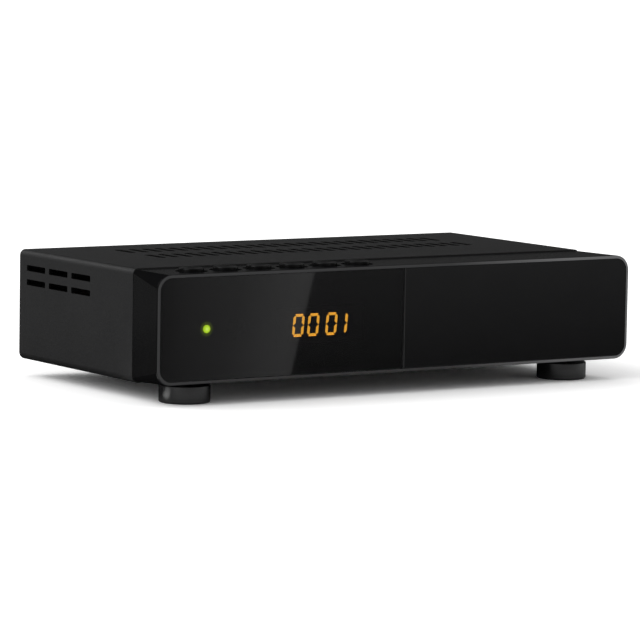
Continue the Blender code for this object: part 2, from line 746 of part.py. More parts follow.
def button_wells():
    """A bore with a dished mouth for each button."""
    shape = bmesh.new()
    bore = BUTTON_RADIUS + GAP
    surface = BUTTON_SURFACE
    for number in range(BUTTON_COUNT):
        across = BUTTON_FIRST + number * BUTTON_PITCH
        slope = (DISH_RADIUS - bore) / DISH_DEPTH
        profile = [
            (0, BUTTON_FLANGE_TOP - GAP - surface),
            (bore, BUTTON_FLANGE_TOP - GAP - surface),
            (bore, -DISH_DEPTH),
            (DISH_RADIUS + slope * BUTTON_PROUD, BUTTON_PROUD),
            (0, BUTTON_PROUD),
        ]
        add_turned(shape, profile, (across, BUTTON_ROW, surface))
    return helper("cut_button_wells", shape)


def fascia_holes():
    """Screw holes in the posts and lower tabs, and peg holes in the foot pads."""
    shape = bmesh.new()
    depth = FRONT_BOARD_FACE - GAP - WALL_REAR
    for across in POST_PLACES:
        profile = rod_profile(SCREW_HOLE, 0, depth + OVERRUN)
        add_turned(shape, profile, (across, WALL_REAR, POST_LEVEL), "Y", SMALL_SIDES)
    for across in fascia_tab_places():
        where = (across, fascia_screw_along(), TRAY_TOP - OVERRUN)
        profile = rod_profile(SCREW_HOLE, 0, FASCIA_TAB[2] + GAP + 2 * OVERRUN)
        add_turned(shape, profile, where, sides=SMALL_SIDES)
    for across, along in front_foot_places():
        profile = rod_profile(PEG_RADIUS + GAP, 0, OVERRUN + PEG_LENGTH + GAP)
        add_turned(shape, profile, (across, along, foot_seat() - OVERRUN), sides=SMALL_SIDES)
    return helper("cut_fascia_holes", shape)


def make_fascia(material):
    fascia = make("front_fascia", fascia_shell(), material)
    combine(fascia, fascia_additions(), "UNION")
    combine(fascia, fascia_openings(), "DIFFERENCE")
    combine(fascia, button_wells(), "DIFFERENCE")
    combine(fascia, fascia_holes(), "DIFFERENCE")
    return fascia


def make_pane(name, left, right, material, left_round, right_round):
    """A thin pane in the fascia's pocket, with two round corners where it meets the rim."""
    corner = PLATE_CORNER - RIM_WIDTH - GAP
    high = PLATE_MIDDLE + PLATE_HEIGHT / 2 - RIM_WIDTH - GAP
    low = PLATE_MIDDLE - PLATE_HEIGHT / 2 + RIM_WIDTH + GAP
    outline = []
    if right_round:
        outline += arc((right - corner, low + corner), corner, -90, 0)
        outline += arc((right - corner, high - corner), corner, 0, 90)
    else:
        outline += [(right, low), (right, high)]
    if left_round:
        outline += arc((left + corner, high - corner), corner, 90, 180)
        outline += arc((left + corner, low + corner), corner, 180, 270)
    else:
        outline += [(left, high), (left, low)]
    shape = bmesh.new()
    add_prism(shape, outline, FRONT + PANE_SINK, WALL_FRONT - GAP)
    return make(name, shape, material)


def make_panes(window_material, trim_material):
    """The smoked window on the left and the gloss panel on the right of the seam."""
    edge = PLATE_WIDTH / 2 - RIM_WIDTH - GAP
    make_pane("display_window", -edge, SEAM_PLACE - GAP / 2, window_material, True, False)
    make_pane("front_trim_panel", SEAM_PLACE + GAP / 2, edge, trim_material, False, True)


def make_buttons(material):
    """Round caps with a dished top, a retaining flange and a stem, each on its own vertical axis."""
    top = BUTTON_SURFACE + BUTTON_PROUD - BUTTON_FLANGE_TOP
    low = -BUTTON_FLANGE_THICKNESS
    profile = [
        (0, low - BUTTON_STEM_LENGTH),
        (BUTTON_STEM, low - BUTTON_STEM_LENGTH),
        (BUTTON_STEM, low),
        (BUTTON_FLANGE, low),
        (BUTTON_FLANGE, 0),
        (BUTTON_RADIUS, 0),
        (BUTTON_RADIUS, top - BUTTON_ROUND),
        (BUTTON_RADIUS - BUTTON_ROUND, top),
        (BUTTON_RADIUS / 2, top - BUTTON_HOLLOW),
        (0, top - BUTTON_HOLLOW),
    ]
    first = None
    for number in range(BUTTON_COUNT):
        place = (BUTTON_FIRST + number * BUTTON_PITCH, BUTTON_ROW, BUTTON_FLANGE_TOP)
        name = f"button_{number + 1}"
        if first:
            copy_piece(first, name, place)
            continue
        shape = bmesh.new()
        add_turned(shape, profile, place)
        first = make(name, shape, material, place)


def make_switches(material):
    """One square switch with a round plunger below each button."""
    first = None
    for number in range(BUTTON_COUNT):
        place = (BUTTON_FIRST + number * BUTTON_PITCH, BUTTON_ROW, SWITCH_SEAT)
        name = f"key_switch_{number + 1}"
        if first:
            copy_piece(first, name, place)
            continue
        half = SWITCH_SIDE / 2
        square = rounded_outline(half, half, BUTTON_ROUND, place[:2], 1)
        shape = bmesh.new()
        add_prism(shape, square, SWITCH_SEAT, SWITCH_SEAT + SWITCH_HEIGHT, "Z")
        first = make(name, shape, material, place)
        plunger = bmesh.new()
        profile = rod_profile(SWITCH_PLUNGER, SWITCH_HEIGHT / 2, SWITCH_HEIGHT + SWITCH_PLUNGER_HEIGHT)
        add_turned(plunger, profile, place, sides=SMALL_SIDES)
        combine(first, helper("add_plunger", plunger), "UNION")
        settle(first)


def settle(piece):
    """Gives a piece its finished mesh, so that copies can share it."""
    graph = bpy.context.evaluated_depsgraph_get()
    mesh = bpy.data.meshes.new_from_object(piece.evaluated_get(graph))
    piece.modifiers.clear()
    piece.data = mesh


def foot_profile(radius, height):
    return [
        (0, FOOT_DISH),
        (FOOT_DISH_RADIUS, FOOT_DISH),
        (FOOT_DISH_RADIUS, 0),
        (radius - FOOT_ROUND, 0),
        (radius, FOOT_ROUND),
        (radius, height),
        (PEG_RADIUS, height),
        (PEG_RADIUS, height + PEG_LENGTH),
        (0, height + PEG_LENGTH),
    ]


def make_feet(material):
    """Two wide feet under the bezel and two smaller ones under the tray, each held by a peg."""
    rows = (
        ("foot_front", front_foot_places(), FOOT_RADIUS, foot_seat() - GAP),
        ("foot_rear", rear_foot_places(), REAR_FOOT_RADIUS, TRAY_BOTTOM - GAP),
    )
    for name, places, radius, height in rows:
        shape = bmesh.new()
        place = (*places[0], 0)
        add_turned(shape, foot_profile(radius, height), place)
        left = make(f"{name}_left", shape, material, place)
        copy_piece(left, f"{name}_right", (*places[1], 0))


def make_boards(material):
    """Main board on the tray, key board under the buttons and front board behind the window."""
    shape = bmesh.new()
    add_box(shape, (-BOARD_HALF, BOARD_FRONT, BOARD_BOTTOM), (BOARD_HALF, BOARD_REAR, BOARD_TOP))
    main = make("main_board", shape, material)
    holes = bmesh.new()
    for across, along in standoff_places():
        profile = rod_profile(SCREW_HOLE, 0, BOARD + 2 * OVERRUN)
        add_turned(holes, profile, (across, along, BOARD_BOTTOM - OVERRUN), sides=SMALL_SIDES)
    combine(main, helper("cut_main_board", holes), "DIFFERENCE")
    shape = bmesh.new()
    start = WALL_REAR + GAP
    low = (KEY_BOARD_LEFT, start, KEY_BOARD_BOTTOM)
    add_box(shape, low, (KEY_BOARD_RIGHT, start + KEY_BOARD_DEPTH, KEY_BOARD_TOP))
    make("key_board", shape, material)
    shape = bmesh.new()
    low = (KEY_BOARD_LEFT, FRONT_BOARD_FACE, FRONT_BOARD_BOTTOM)
    add_box(shape, low, (KEY_BOARD_RIGHT, FRONT_BOARD_REAR, FRONT_BOARD_TOP))
    front = make("front_board", shape, material)
    places = [(across, POST_LEVEL) for across in POST_PLACES]
    low, high = FRONT_BOARD_FACE - OVERRUN, FRONT_BOARD_REAR + OVERRUN
    combine(front, screw_holes("cut_front_board", places, low, high), "DIFFERENCE")


def make_display(material):
    """Four-digit display block whose face looks through the front wall."""
    across, level = on_plate(DISPLAY_PLACE)
    width, height, depth = DISPLAY_SIZE
    outline = rounded_outline(width / 2, height / 2, DISPLAY_FACE_ROUND, (across, level), 1)
    shape = bmesh.new()
    add_prism(shape, outline, DISPLAY_FRONT, DISPLAY_FRONT + depth)
    return make("digit_display", shape, material, (across, DISPLAY_FRONT, level))


def make_lamp(material):
    """Status lamp with a domed tip and a collar at its base."""
    length = FRONT_BOARD_FACE - GAP - DISPLAY_FRONT
    across, level = on_plate(LED_PLACE)
    place = (across, FRONT_BOARD_FACE - GAP, level)
    dome = arc((0, length - LED_RADIUS), LED_RADIUS, 0, 80, 4)
    profile = [(0, 0), (LED_COLLAR, 0), (LED_COLLAR, LED_COLLAR_LENGTH), (LED_RADIUS, LED_COLLAR_LENGTH)]
    shape = bmesh.new()
    add_turned(shape, profile + dome + [(0, length)], place, "-Y", SMALL_SIDES)
    return make("status_lamp", shape, material, place)


def make_ir_receiver(material):
    """Infrared receiver: a block on the front board with a domed lens towards the window."""
    width, height, depth = IR_SIZE
    across, level = on_plate(IR_PLACE)
    rear = FRONT_BOARD_FACE - GAP
    outline = rounded_outline(width / 2, height / 2, DISPLAY_FACE_ROUND, (across, level), 1)
    shape = bmesh.new()
    add_prism(shape, outline, rear - depth, rear)
    receiver = make("ir_receiver", shape, material, (across, rear, level))
    length = rear - DISPLAY_FRONT
    lens = bmesh.new()
    dome = arc((0, length - IR_LENS), IR_LENS, 0, 80, 4)
    profile = [(0, depth / 2), (IR_LENS, depth / 2)] + dome + [(0, length)]
    add_turned(lens, profile, (across, rear, level), "-Y", SMALL_SIDES)
    combine(receiver, helper("add_lens", lens), "UNION")
    return receiver


def make_shell_socket(name, place, shell, cavity, tongue, chamfer, material):
    """Socket with a mouth towards the rear and a contact tongue set back in it."""
    middle = (place, PARTS_SEAT + shell[1] / 2)
    mouth = PANEL_REAR + SOCKET_PROUD
    shape = bmesh.new()
    outline = chamfered_outline(shell[0], shell[1], chamfer, middle)
    add_prism(shape, outline, mouth - shell[2], mouth)
    socket = make(name, shape, material, (place, mouth, middle[1]))
    hollow = bmesh.new()
    outline = chamfered_outline(cavity[0], cavity[1], chamfer, middle)
    add_prism(hollow, outline, mouth - cavity[2], mouth + OVERRUN)
    combine(socket, helper(f"cut_{name}", hollow), "DIFFERENCE")
    bar = bmesh.new()
    low = (place - tongue[0] / 2, mouth - (shell[2] + cavity[2]) / 2, middle[1] - tongue[1] / 2)
    add_box(bar, low, (place + tongue[0] / 2, mouth - TONGUE_SET_BACK, middle[1] + tongue[1] / 2))
    combine(socket, helper(f"add_{name}", bar), "UNION")
    return socket


def make_tuner(can_material, nipple_material):
    """Screened tuner with its threaded aerial socket and the nut that holds it to the panel."""
    width, height, depth = TUNER_SIZE
    rear = PANEL_FRONT - TUNER_SET_BACK
    shape = bmesh.new()
    low = (TUNER_PLACE - width / 2, rear - depth, PARTS_SEAT)
    add_box(shape, low, (TUNER_PLACE + width / 2, rear, PARTS_SEAT + height))
    make("tuner_can", shape, can_material)
    level = PARTS_SEAT + LNB_LIFT
    start = rear + GAP
    length = PANEL_REAR + PANEL_INSET + LNB_REACH - start
    thread_start = PANEL_REAR - start + NUT_HEIGHT + 2 * GAP
    pitch = (length - thread_start) / LNB_THREADS
    profile = [(0, 0), (LNB_RADIUS, 0)]
    for number in range(LNB_THREADS):
        along = thread_start + number * pitch
        profile += [(LNB_RADIUS, along), (LNB_RADIUS - LNB_THREAD_DEPTH, along + pitch / 2)]
    profile += [
        (LNB_RADIUS - LNB_THREAD_DEPTH, length),
        (LNB_CORE_HOLE, length),
        (LNB_CORE_HOLE, length - LNB_CORE_DEPTH),
        (0, length - LNB_CORE_DEPTH),
    ]
    shape = bmesh.new()
    place = (TUNER_PLACE, start, level)
    add_turned(shape, profile, place, "Y", ROUND_SIDES)
    make("lnb_socket", shape, nipple_material, place)
    shape = bmesh.new()
    place = (TUNER_PLACE, PANEL_REAR + GAP, level)
    add_turned(shape, rod_profile(NUT_HALF_FLATS / math.cos(math.pi / 6), 0, NUT_HEIGHT), place, "Y", 6)
    nut = make("lnb_nut", shape, nipple_material, place)
    bore = bmesh.new()
    profile = rod_profile(LNB_RADIUS + GAP, -OVERRUN, NUT_HEIGHT + OVERRUN)
    add_turned(bore, profile, place, "Y")
    combine(nut, helper("cut_nut", bore), "DIFFERENCE")


def make_audio_socket(material):
    """Round coaxial audio socket on a square body."""
    width, height, depth = AUDIO_BODY
    level = PARTS_SEAT + AUDIO_LIFT
    rear = PANEL_FRONT - GAP
    shape = bmesh.new()
    low = (AUDIO_PLACE - width / 2, rear - depth, PARTS_SEAT)
    add_box(shape, low, (AUDIO_PLACE + width / 2, rear, PARTS_SEAT + height))
    socket = make("audio_socket", shape, material, (AUDIO_PLACE, rear, level))
    reach = PANEL_REAR + AUDIO_REACH - rear
    ring_end = PANEL_REAR - rear + AUDIO_RING
    profile = [
        (0, -depth / 2),
        (AUDIO_BARREL + AUDIO_RING, -depth / 2),
        (AUDIO_BARREL + AUDIO_RING, ring_end),
        (AUDIO_BARREL, ring_end),
        (AUDIO_BARREL, reach - AUDIO_RING),
        (AUDIO_BARREL - AUDIO_RING, reach),
        (AUDIO_PIN_HOLE, reach),
        (AUDIO_PIN_HOLE, 0),
        (0, 0),
    ]
    barrel = bmesh.new()
    add_turned(barrel, profile, (AUDIO_PLACE, rear, level), "Y")
    combine(socket, helper("add_barrel", barrel), "UNION")
    hole = bmesh.new()
    profile = rod_profile(AUDIO_PIN_HOLE, 0, reach + OVERRUN)
    add_turned(hole, profile, (AUDIO_PLACE, rear, level), "Y")
    combine(socket, helper("cut_barrel", hole), "DIFFERENCE")
    return socket


def make_power_inlet(material):
    """Inlet for the mains adapter's plug, with a centre pin in a round well."""
    width, height, depth = POWER_BODY
    level = PARTS_SEAT + POWER_LIFT
    rear = PANEL_FRONT - GAP
    shape = bmesh.new()
    low = (POWER_PLACE - width / 2, rear - depth, PARTS_SEAT)
    add_box(shape, low, (POWER_PLACE + width / 2, rear, PARTS_SEAT + height))
    inlet = make("power_inlet", shape, material, (POWER_PLACE, rear, level))
    well = bmesh.new()
    profile = [
        (0, -GAP),
        (POWER_PIN, -GAP),
        (POWER_PIN, -POWER_HOLE_DEPTH),
        (POWER_HOLE, -POWER_HOLE_DEPTH),
        (POWER_HOLE, OVERRUN),
        (0, OVERRUN),
    ]
    add_turned(well, profile, (POWER_PLACE, rear, level), "Y")
    combine(inlet, helper("cut_power_well", well), "DIFFERENCE")
    return inlet


def board_block(name, size, place, material, seat=PARTS_SEAT):
    """A flat component on the main board."""
    low = (place[0] - size[0] / 2, CASE_FRONT + place[1] - size[1] / 2, seat)
    high = (place[0] + size[0] / 2, CASE_FRONT + place[1] + size[1] / 2, seat + size[2])
    shape = bmesh.new()
    add_box(shape, low, high)
    return make(name, shape, material)


def make_heat_sink(material):
    """Finned sink on the processor."""
    seat = PARTS_SEAT + PROCESSOR_SIZE[2] + GAP
    left = PROCESSOR_PLACE[0] - SINK_SIDE / 2
    pitch = (SINK_SIDE - SINK_FIN) / (SINK_FINS - 1)
    outline = [(left, seat)]
    for number in range(SINK_FINS):
        start = left + number * pitch
        outline.append((start, seat + SINK_BASE if number else seat + SINK_HEIGHT))
        if number:
            outline.append((start, seat + SINK_HEIGHT))
        outline.append((start + SINK_FIN, seat + SINK_HEIGHT))
        if number < SINK_FINS - 1:
            outline.append((start + SINK_FIN, seat + SINK_BASE))
    outline.append((left + SINK_SIDE, seat))
    shape = bmesh.new()
    middle = CASE_FRONT + PROCESSOR_PLACE[1]
    add_prism(shape, outline, middle - SINK_SIDE / 2, middle + SINK_SIDE / 2)
    return make("heat_sink", shape, material)


def make_capacitors(material):
    """Upright round capacitors with a groove near the foot and a scored top."""
    rows = zip(CAPACITOR_INSETS, CAPACITOR_RADII, CAPACITOR_HEIGHTS)
    for number, (inset, radius, height) in enumerate(rows):
        groove = height / 8
        profile = [
            (0, 0),
            (radius - CAPACITOR_ROUND, 0),
            (radius, CAPACITOR_ROUND),
            (radius, groove),
            (radius - CAPACITOR_GROOVE, groove + CAPACITOR_GROOVE),
            (radius, groove + 2 * CAPACITOR_GROOVE),
            (radius, height - CAPACITOR_ROUND),
            (radius - CAPACITOR_ROUND, height),
            (0, height),
        ]
        shape = bmesh.new()
        where = (*on_board(inset), PARTS_SEAT)
        add_turned(shape, profile, where, sides=SMALL_SIDES)
        make(f"capacitor_{number + 1}", shape, material, where)


def make_coil(material):
    """Drum-shaped coil of the power supply."""
    where = (*on_board(COIL_INSET), PARTS_SEAT)
    cheek = COIL_HEIGHT / 5
    profile = [
        (0, 0),
        (COIL_RADIUS, 0),
        (COIL_RADIUS, cheek),
        (COIL_RADIUS - COIL_WAIST, cheek),
        (COIL_RADIUS - COIL_WAIST, COIL_HEIGHT - cheek),
        (COIL_RADIUS, COIL_HEIGHT - cheek),
        (COIL_RADIUS, COIL_HEIGHT),
        (0, COIL_HEIGHT),
    ]
    shape = bmesh.new()
    add_turned(shape, profile, where, sides=SMALL_SIDES)
    return make("power_coil", shape, material, where)


def make_ribbon(material):
    """Flat cable from the front board back and down into the main board's connector."""
    start = FRONT_BOARD_REAR + GAP
    level = FRONT_BOARD_TOP - RIBBON_DROP
    drop = CASE_FRONT + LINK_PLACE[1]
    end = PARTS_SEAT + LINK_SIZE[2] + GAP
    half = RIBBON_SHEET / 2
    centre = (drop - RIBBON_BEND, level - RIBBON_BEND)
    outline = [(start, level + half)]
    outline += arc(centre, RIBBON_BEND + half, 90, 0)
    outline += [(drop + half, end), (drop - half, end)]
    outline += arc(centre, RIBBON_BEND - half, 0, 90)
    outline.append((start, level - half))
    shape = bmesh.new()
    middle = LINK_PLACE[0]
    add_prism(shape, outline, middle - RIBBON_WIDTH / 2, middle + RIBBON_WIDTH / 2, "X")
    return make("front_cable", shape, material)


def make_screws(material):
    """Pan-head screws with a cross slot: for the rear, the boards and the fascia's tabs."""
    profile = [
        (0, -SCREW_LENGTH),
        (SCREW_SHANK, -SCREW_LENGTH),
        (SCREW_SHANK, 0),
        (SCREW_HEAD, 0),
        (SCREW_HEAD, SCREW_HEAD_HEIGHT / 2),
        (SCREW_HEAD * 2 / 3, SCREW_HEAD_HEIGHT),
        (0, SCREW_HEAD_HEIGHT),
    ]
    shape = bmesh.new()
    add_turned(shape, profile, (0, 0, 0), sides=SMALL_SIDES)
    pattern = make("pattern_screw", shape, material)
    cross = bmesh.new()
    low = SCREW_HEAD_HEIGHT - SCREW_SLOT_DEPTH
    high = SCREW_HEAD_HEIGHT + OVERRUN
    long, wide = SCREW_SLOT_LENGTH / 2, SCREW_SLOT / 2
    outline = [(long, wide), (wide, wide), (wide, long), (-wide, long), (-wide, wide), (-long, wide)]
    outline += [(-x, -y) for x, y in outline]
    add_prism(cross, outline, low, high, "Z")
    combine(pattern, helper("cut_cross", cross), "DIFFERENCE")
    settle(pattern)
    groups = (
        ("rear_screw", rear_screw_points(), (-math.pi / 2, 0, 0)),
        ("board_screw", board_screw_points(), (0, 0, 0)),
        ("front_board_screw", front_board_screw_points(), (-math.pi / 2, 0, 0)),
        ("fascia_screw", fascia_screw_points(), (math.pi, 0, 0)),
    )
    for name, places, turn in groups:
        for number, place in enumerate(places):
            screw = copy_piece(pattern, f"{name}_{number + 1}", place)
            screw.rotation_euler = turn
    bpy.data.objects.remove(pattern, do_unlink=True)


def rear_screw_points():
    places = upper_screw_places() + lower_screw_places()
    return [(across, SCREW_SEAT, level) for across, level in places]


def board_screw_points():
    return [(across, along, BOARD_TOP + GAP) for across, along in standoff_places()]


def front_board_screw_points():
    return [(across, FRONT_BOARD_REAR + GAP, POST_LEVEL) for across in POST_PLACES]


def fascia_screw_points():
    return [(across, fascia_screw_along(), TRAY_BOTTOM - GAP) for across in fascia_tab_places()]


def gather_pieces():
    """Hangs every piece on one empty, so that the whole receiver moves together."""
    base = bpy.data.objects.new("receiver", None)
    bpy.context.scene.collection.objects.link(base)
    for piece in bpy.data.objects:
        if piece is not base:
            piece.parent = base


def main():
    clear_scene()
    painted = finish("black_painted_sheet", (0.026, 0.026, 0.027), 0.45, 0.3)
    galvanised = finish("galvanised_sheet", (0.36, 0.37, 0.38), 0.38, 0.9)
    satin = finish("satin_black_plastic", (0.016, 0.016, 0.017), 0.42)
    gloss = finish("gloss_black_plastic", (0.008, 0.008, 0.009), 0.07)
    smoked = finish("smoked_window", (0.012, 0.011, 0.012), 0.05)
    button_black = finish("button_plastic", (0.014, 0.014, 0.015), 0.38)
    foot_grey = finish("foot_plastic", (0.045, 0.045, 0.047), 0.36)
    green_board = finish("green_board", (0.02, 0.10, 0.04), 0.45)
    display_face = finish("display_face", (0.010, 0.008, 0.007), 0.3)
    lamp_green = finish("green_lamp", (0.38, 0.72, 0.10), 0.2)
    lens_dark = finish("infrared_lens", (0.03, 0.008, 0.008), 0.15)
    chip_black = finish("chip_black", (0.02, 0.02, 0.022), 0.5)
    socket_metal = finish("socket_metal", (0.62, 0.62, 0.6), 0.3, 1.0)
    socket_black = finish("socket_black", (0.018, 0.018, 0.02), 0.45)
    audio_orange = finish("audio_orange", (0.75, 0.22, 0.03), 0.4)
    can_sleeve = finish("capacitor_sleeve", (0.02, 0.03, 0.08), 0.35)
    link_white = finish("connector_white", (0.78, 0.75, 0.66), 0.45)
    ribbon_grey = finish("ribbon_grey", (0.42, 0.43, 0.45), 0.5)
    sink_black = finish("anodised_aluminium", (0.05, 0.05, 0.055), 0.4, 0.8)
    screw_black = finish("screw_black", (0.06, 0.06, 0.065), 0.35, 0.9)

    make_cover(painted)
    make_tray(galvanised)
    make_rear_panel(painted)
    make_fascia(satin)
    make_panes(smoked, gloss)
    make_buttons(button_black)
    make_switches(chip_black)
    make_feet(foot_grey)
    make_boards(green_board)
    make_display(display_face)
    make_lamp(lamp_green)
    make_ir_receiver(lens_dark)
    shell_finishes = {"hdmi_socket": socket_metal, "usb_socket": socket_metal, "scart_socket": socket_black}
    for row in shell_sockets():
        make_shell_socket(*row, shell_finishes[row[0]])
    make_tuner(galvanised, socket_metal)
    make_audio_socket(audio_orange)
    make_power_inlet(socket_black)
    board_block("main_processor", PROCESSOR_SIZE, PROCESSOR_PLACE, chip_black)
    board_block("memory_chip", MEMORY_SIZE, MEMORY_PLACE, chip_black)
    board_block("crystal", CRYSTAL_SIZE, CRYSTAL_PLACE, socket_metal)
    board_block("board_connector", LINK_SIZE, LINK_PLACE, link_white)
    make_heat_sink(sink_black)
    make_capacitors(can_sleeve)
    make_coil(chip_black)
    make_ribbon(ribbon_grey)
    make_screws(screw_black)
    gather_pieces()


main()
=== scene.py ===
import math

import bmesh
import bpy
from mathutils import Matrix, Vector


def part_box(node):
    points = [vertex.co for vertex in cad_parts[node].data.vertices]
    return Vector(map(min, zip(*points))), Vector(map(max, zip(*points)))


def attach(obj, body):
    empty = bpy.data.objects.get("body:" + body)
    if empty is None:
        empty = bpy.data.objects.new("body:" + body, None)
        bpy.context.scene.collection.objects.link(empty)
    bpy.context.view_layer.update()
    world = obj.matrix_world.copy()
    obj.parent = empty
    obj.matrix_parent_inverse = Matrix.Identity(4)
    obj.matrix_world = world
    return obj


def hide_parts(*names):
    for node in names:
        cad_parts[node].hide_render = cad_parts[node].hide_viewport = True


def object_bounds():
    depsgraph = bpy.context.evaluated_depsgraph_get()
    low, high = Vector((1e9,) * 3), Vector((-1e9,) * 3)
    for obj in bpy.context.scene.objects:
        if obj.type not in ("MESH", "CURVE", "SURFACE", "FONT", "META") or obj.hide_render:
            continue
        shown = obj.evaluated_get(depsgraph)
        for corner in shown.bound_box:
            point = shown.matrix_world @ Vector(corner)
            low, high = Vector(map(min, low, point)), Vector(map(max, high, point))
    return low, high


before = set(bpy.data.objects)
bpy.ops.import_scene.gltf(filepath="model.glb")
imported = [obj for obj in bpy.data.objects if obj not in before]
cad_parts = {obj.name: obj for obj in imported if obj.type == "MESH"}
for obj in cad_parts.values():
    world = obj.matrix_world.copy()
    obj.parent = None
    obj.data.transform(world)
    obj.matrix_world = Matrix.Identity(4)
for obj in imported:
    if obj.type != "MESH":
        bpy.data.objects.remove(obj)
cadLow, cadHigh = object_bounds()
body = "receiver"
buttonNumbers = range(1, 7)

# Limits and steps that the modelling tools share
tools = {"near": 0.00001, "merge": 0.000002, "straight": 0.99, "cornerReach": 0.45, "loopGap": 0.001,
         "softAngle": 40, "smoothAngle": 35, "normalWeight": 100}


# Small modelling tools

def deselectAll():
    bpy.ops.object.select_all(action="DESELECT")


def makeActive(piece):
    deselectAll()
    piece.select_set(True)
    bpy.context.view_layer.objects.active = piece


def takePiece(name):  # names a new primitive and puts its place into its mesh
    piece = bpy.context.object
    piece.name = name
    piece.data.name = name
    bpy.ops.object.transform_apply(location=True, rotation=True, scale=True)
    return piece


def addBlock(name, low, high):
    low, high = Vector(low), Vector(high)
    bpy.ops.mesh.primitive_cube_add(size=1, location=(low + high) / 2, scale=high - low)
    return takePiece(name)


def addRod(name, radius, low, high, sides=24):  # a rod along Y
    low, high = Vector(low), Vector(high)
    bpy.ops.mesh.primitive_cylinder_add(vertices=sides, radius=radius, depth=(high - low).length,
                                        location=(low + high) / 2, rotation=(math.pi / 2, 0, 0))
    return takePiece(name)


def openPiece(piece):  # edit mode with nothing selected
    makeActive(piece)
    bpy.ops.object.mode_set(mode="EDIT")
    bpy.ops.mesh.select_all(action="DESELECT")


def closePiece(piece):
    bpy.ops.object.mode_set(mode="OBJECT")
    return piece


def pick(piece, kind, test):  # selects vertices, edges or faces by their place or normal
    bpy.ops.mesh.select_mode(type=kind)
    bpy.ops.mesh.select_all(action="DESELECT")
    cage = bmesh.from_edit_mesh(piece.data)
    parts = {"VERT": cage.verts, "EDGE": cage.edges, "FACE": cage.faces}[kind]
    parts.index_update()
    for part in parts:
        if test(part):
            part.select_set(True)
    cage.select_flush_mode()
    bmesh.update_edit_mesh(piece.data)


def edgeMiddle(edge):
    return (edge.verts[0].co + edge.verts[1].co) / 2


def runsAlong(edge, axis):  # true for an edge that lies along X, Y or Z
    way = (edge.verts[1].co - edge.verts[0].co).normalized()
    return abs(way["XYZ".index(axis)]) > tools["straight"]


def near(first, second):
    return abs(first - second) < tools["near"]


def applyModifier(piece, kind, **settings):
    makeActive(piece)
    modifier = piece.modifiers.new(kind.title(), kind)
    for key, value in settings.items():
        setattr(modifier, key, value)
    bpy.ops.object.modifier_apply(modifier=modifier.name)
    return piece


def combine(piece, other, operation="DIFFERENCE"):
    applyModifier(piece, "BOOLEAN", object=other, operation=operation, solver="EXACT")
    bpy.data.objects.remove(other)
    return piece


def softenEdges(piece, width, steps=2):
    angle = math.radians(tools["softAngle"])
    return applyModifier(piece, "BEVEL", width=width, segments=steps, limit_method="ANGLE", angle_limit=angle)


def copyPiece(piece, name, shift=(0, 0, 0)):  # a copy with its own mesh
    twin = piece.copy()
    twin.data = piece.data.copy()
    twin.name = name
    twin.data.transform(Matrix.Translation(shift))
    bpy.context.scene.collection.objects.link(twin)
    return twin


def joinPieces(pieces, name):
    deselectAll()
    for piece in pieces:
        piece.select_set(True)
    bpy.context.view_layer.objects.active = pieces[0]
    bpy.ops.object.join()
    pieces[0].name = name
    return pieces[0]


def turnPiece(name, profile, centre, axis="Z", steps=48):  # spins (radius, height) points round an axis
    centre = Vector(centre)
    along = {"Z": Vector((0, 0, 1)), "Y": Vector((0, 1, 0)), "-Y": Vector((0, -1, 0))}[axis]
    places = [centre + Vector((radius, 0, 0)) + along * height for radius, height in profile]
    bpy.ops.mesh.primitive_plane_add(size=1)
    piece = takePiece(name)
    openPiece(piece)
    bpy.ops.mesh.select_mode(type="VERT")
    bpy.ops.mesh.select_all(action="SELECT")
    bpy.ops.mesh.merge(type="CENTER")
    bpy.ops.transform.translate(value=places[0])
    for start, end in zip(places, places[1:]):
        bpy.ops.mesh.extrude_vertices_move(TRANSFORM_OT_translate={"value": end - start})
    bpy.ops.mesh.select_all(action="SELECT")
    bpy.ops.mesh.spin(steps=steps, angle=2 * math.pi, center=centre, axis=along)
    bpy.ops.mesh.select_all(action="SELECT")
    bpy.ops.mesh.remove_doubles(threshold=tools["merge"])
    bpy.ops.mesh.normals_make_consistent(inside=False)
    return closePiece(piece)


def roundCorners(profile, radius, steps=4):  # rounds the inner corners of a profile
    points = [profile[0]]
    for before, corner, after in zip(profile, profile[1:], profile[2:]):
        corner = Vector(corner)
        back, on = Vector(before) - corner, Vector(after) - corner
        reach = min(radius, back.length * tools["cornerReach"], on.length * tools["cornerReach"])
        start, end = corner + back.normalized() * reach, corner + on.normalized() * reach
        for step in range(steps + 1):
            share = step / steps
            first, second = start.lerp(corner, share), corner.lerp(end, share)
            points.append(tuple(first.lerp(second, share)))
    return points + [profile[-1]]


def addLoop(halfWidth, halfHeight, corner, middle, along, steps):  # a rounded rectangle across Y
    bpy.ops.mesh.select_mode(type="VERT")
    bpy.ops.mesh.select_all(action="DESELECT")
    bpy.ops.mesh.primitive_plane_add(size=1, location=(0, along, middle), rotation=(math.pi / 2, 0, 0))
    bpy.ops.transform.resize(value=(2 * halfWidth, 1, 2 * halfHeight), center_override=(0, along, middle))
    bpy.ops.mesh.bevel(offset=corner, segments=steps, affect="VERTICES")
    bpy.ops.mesh.delete(type="ONLY_FACE")


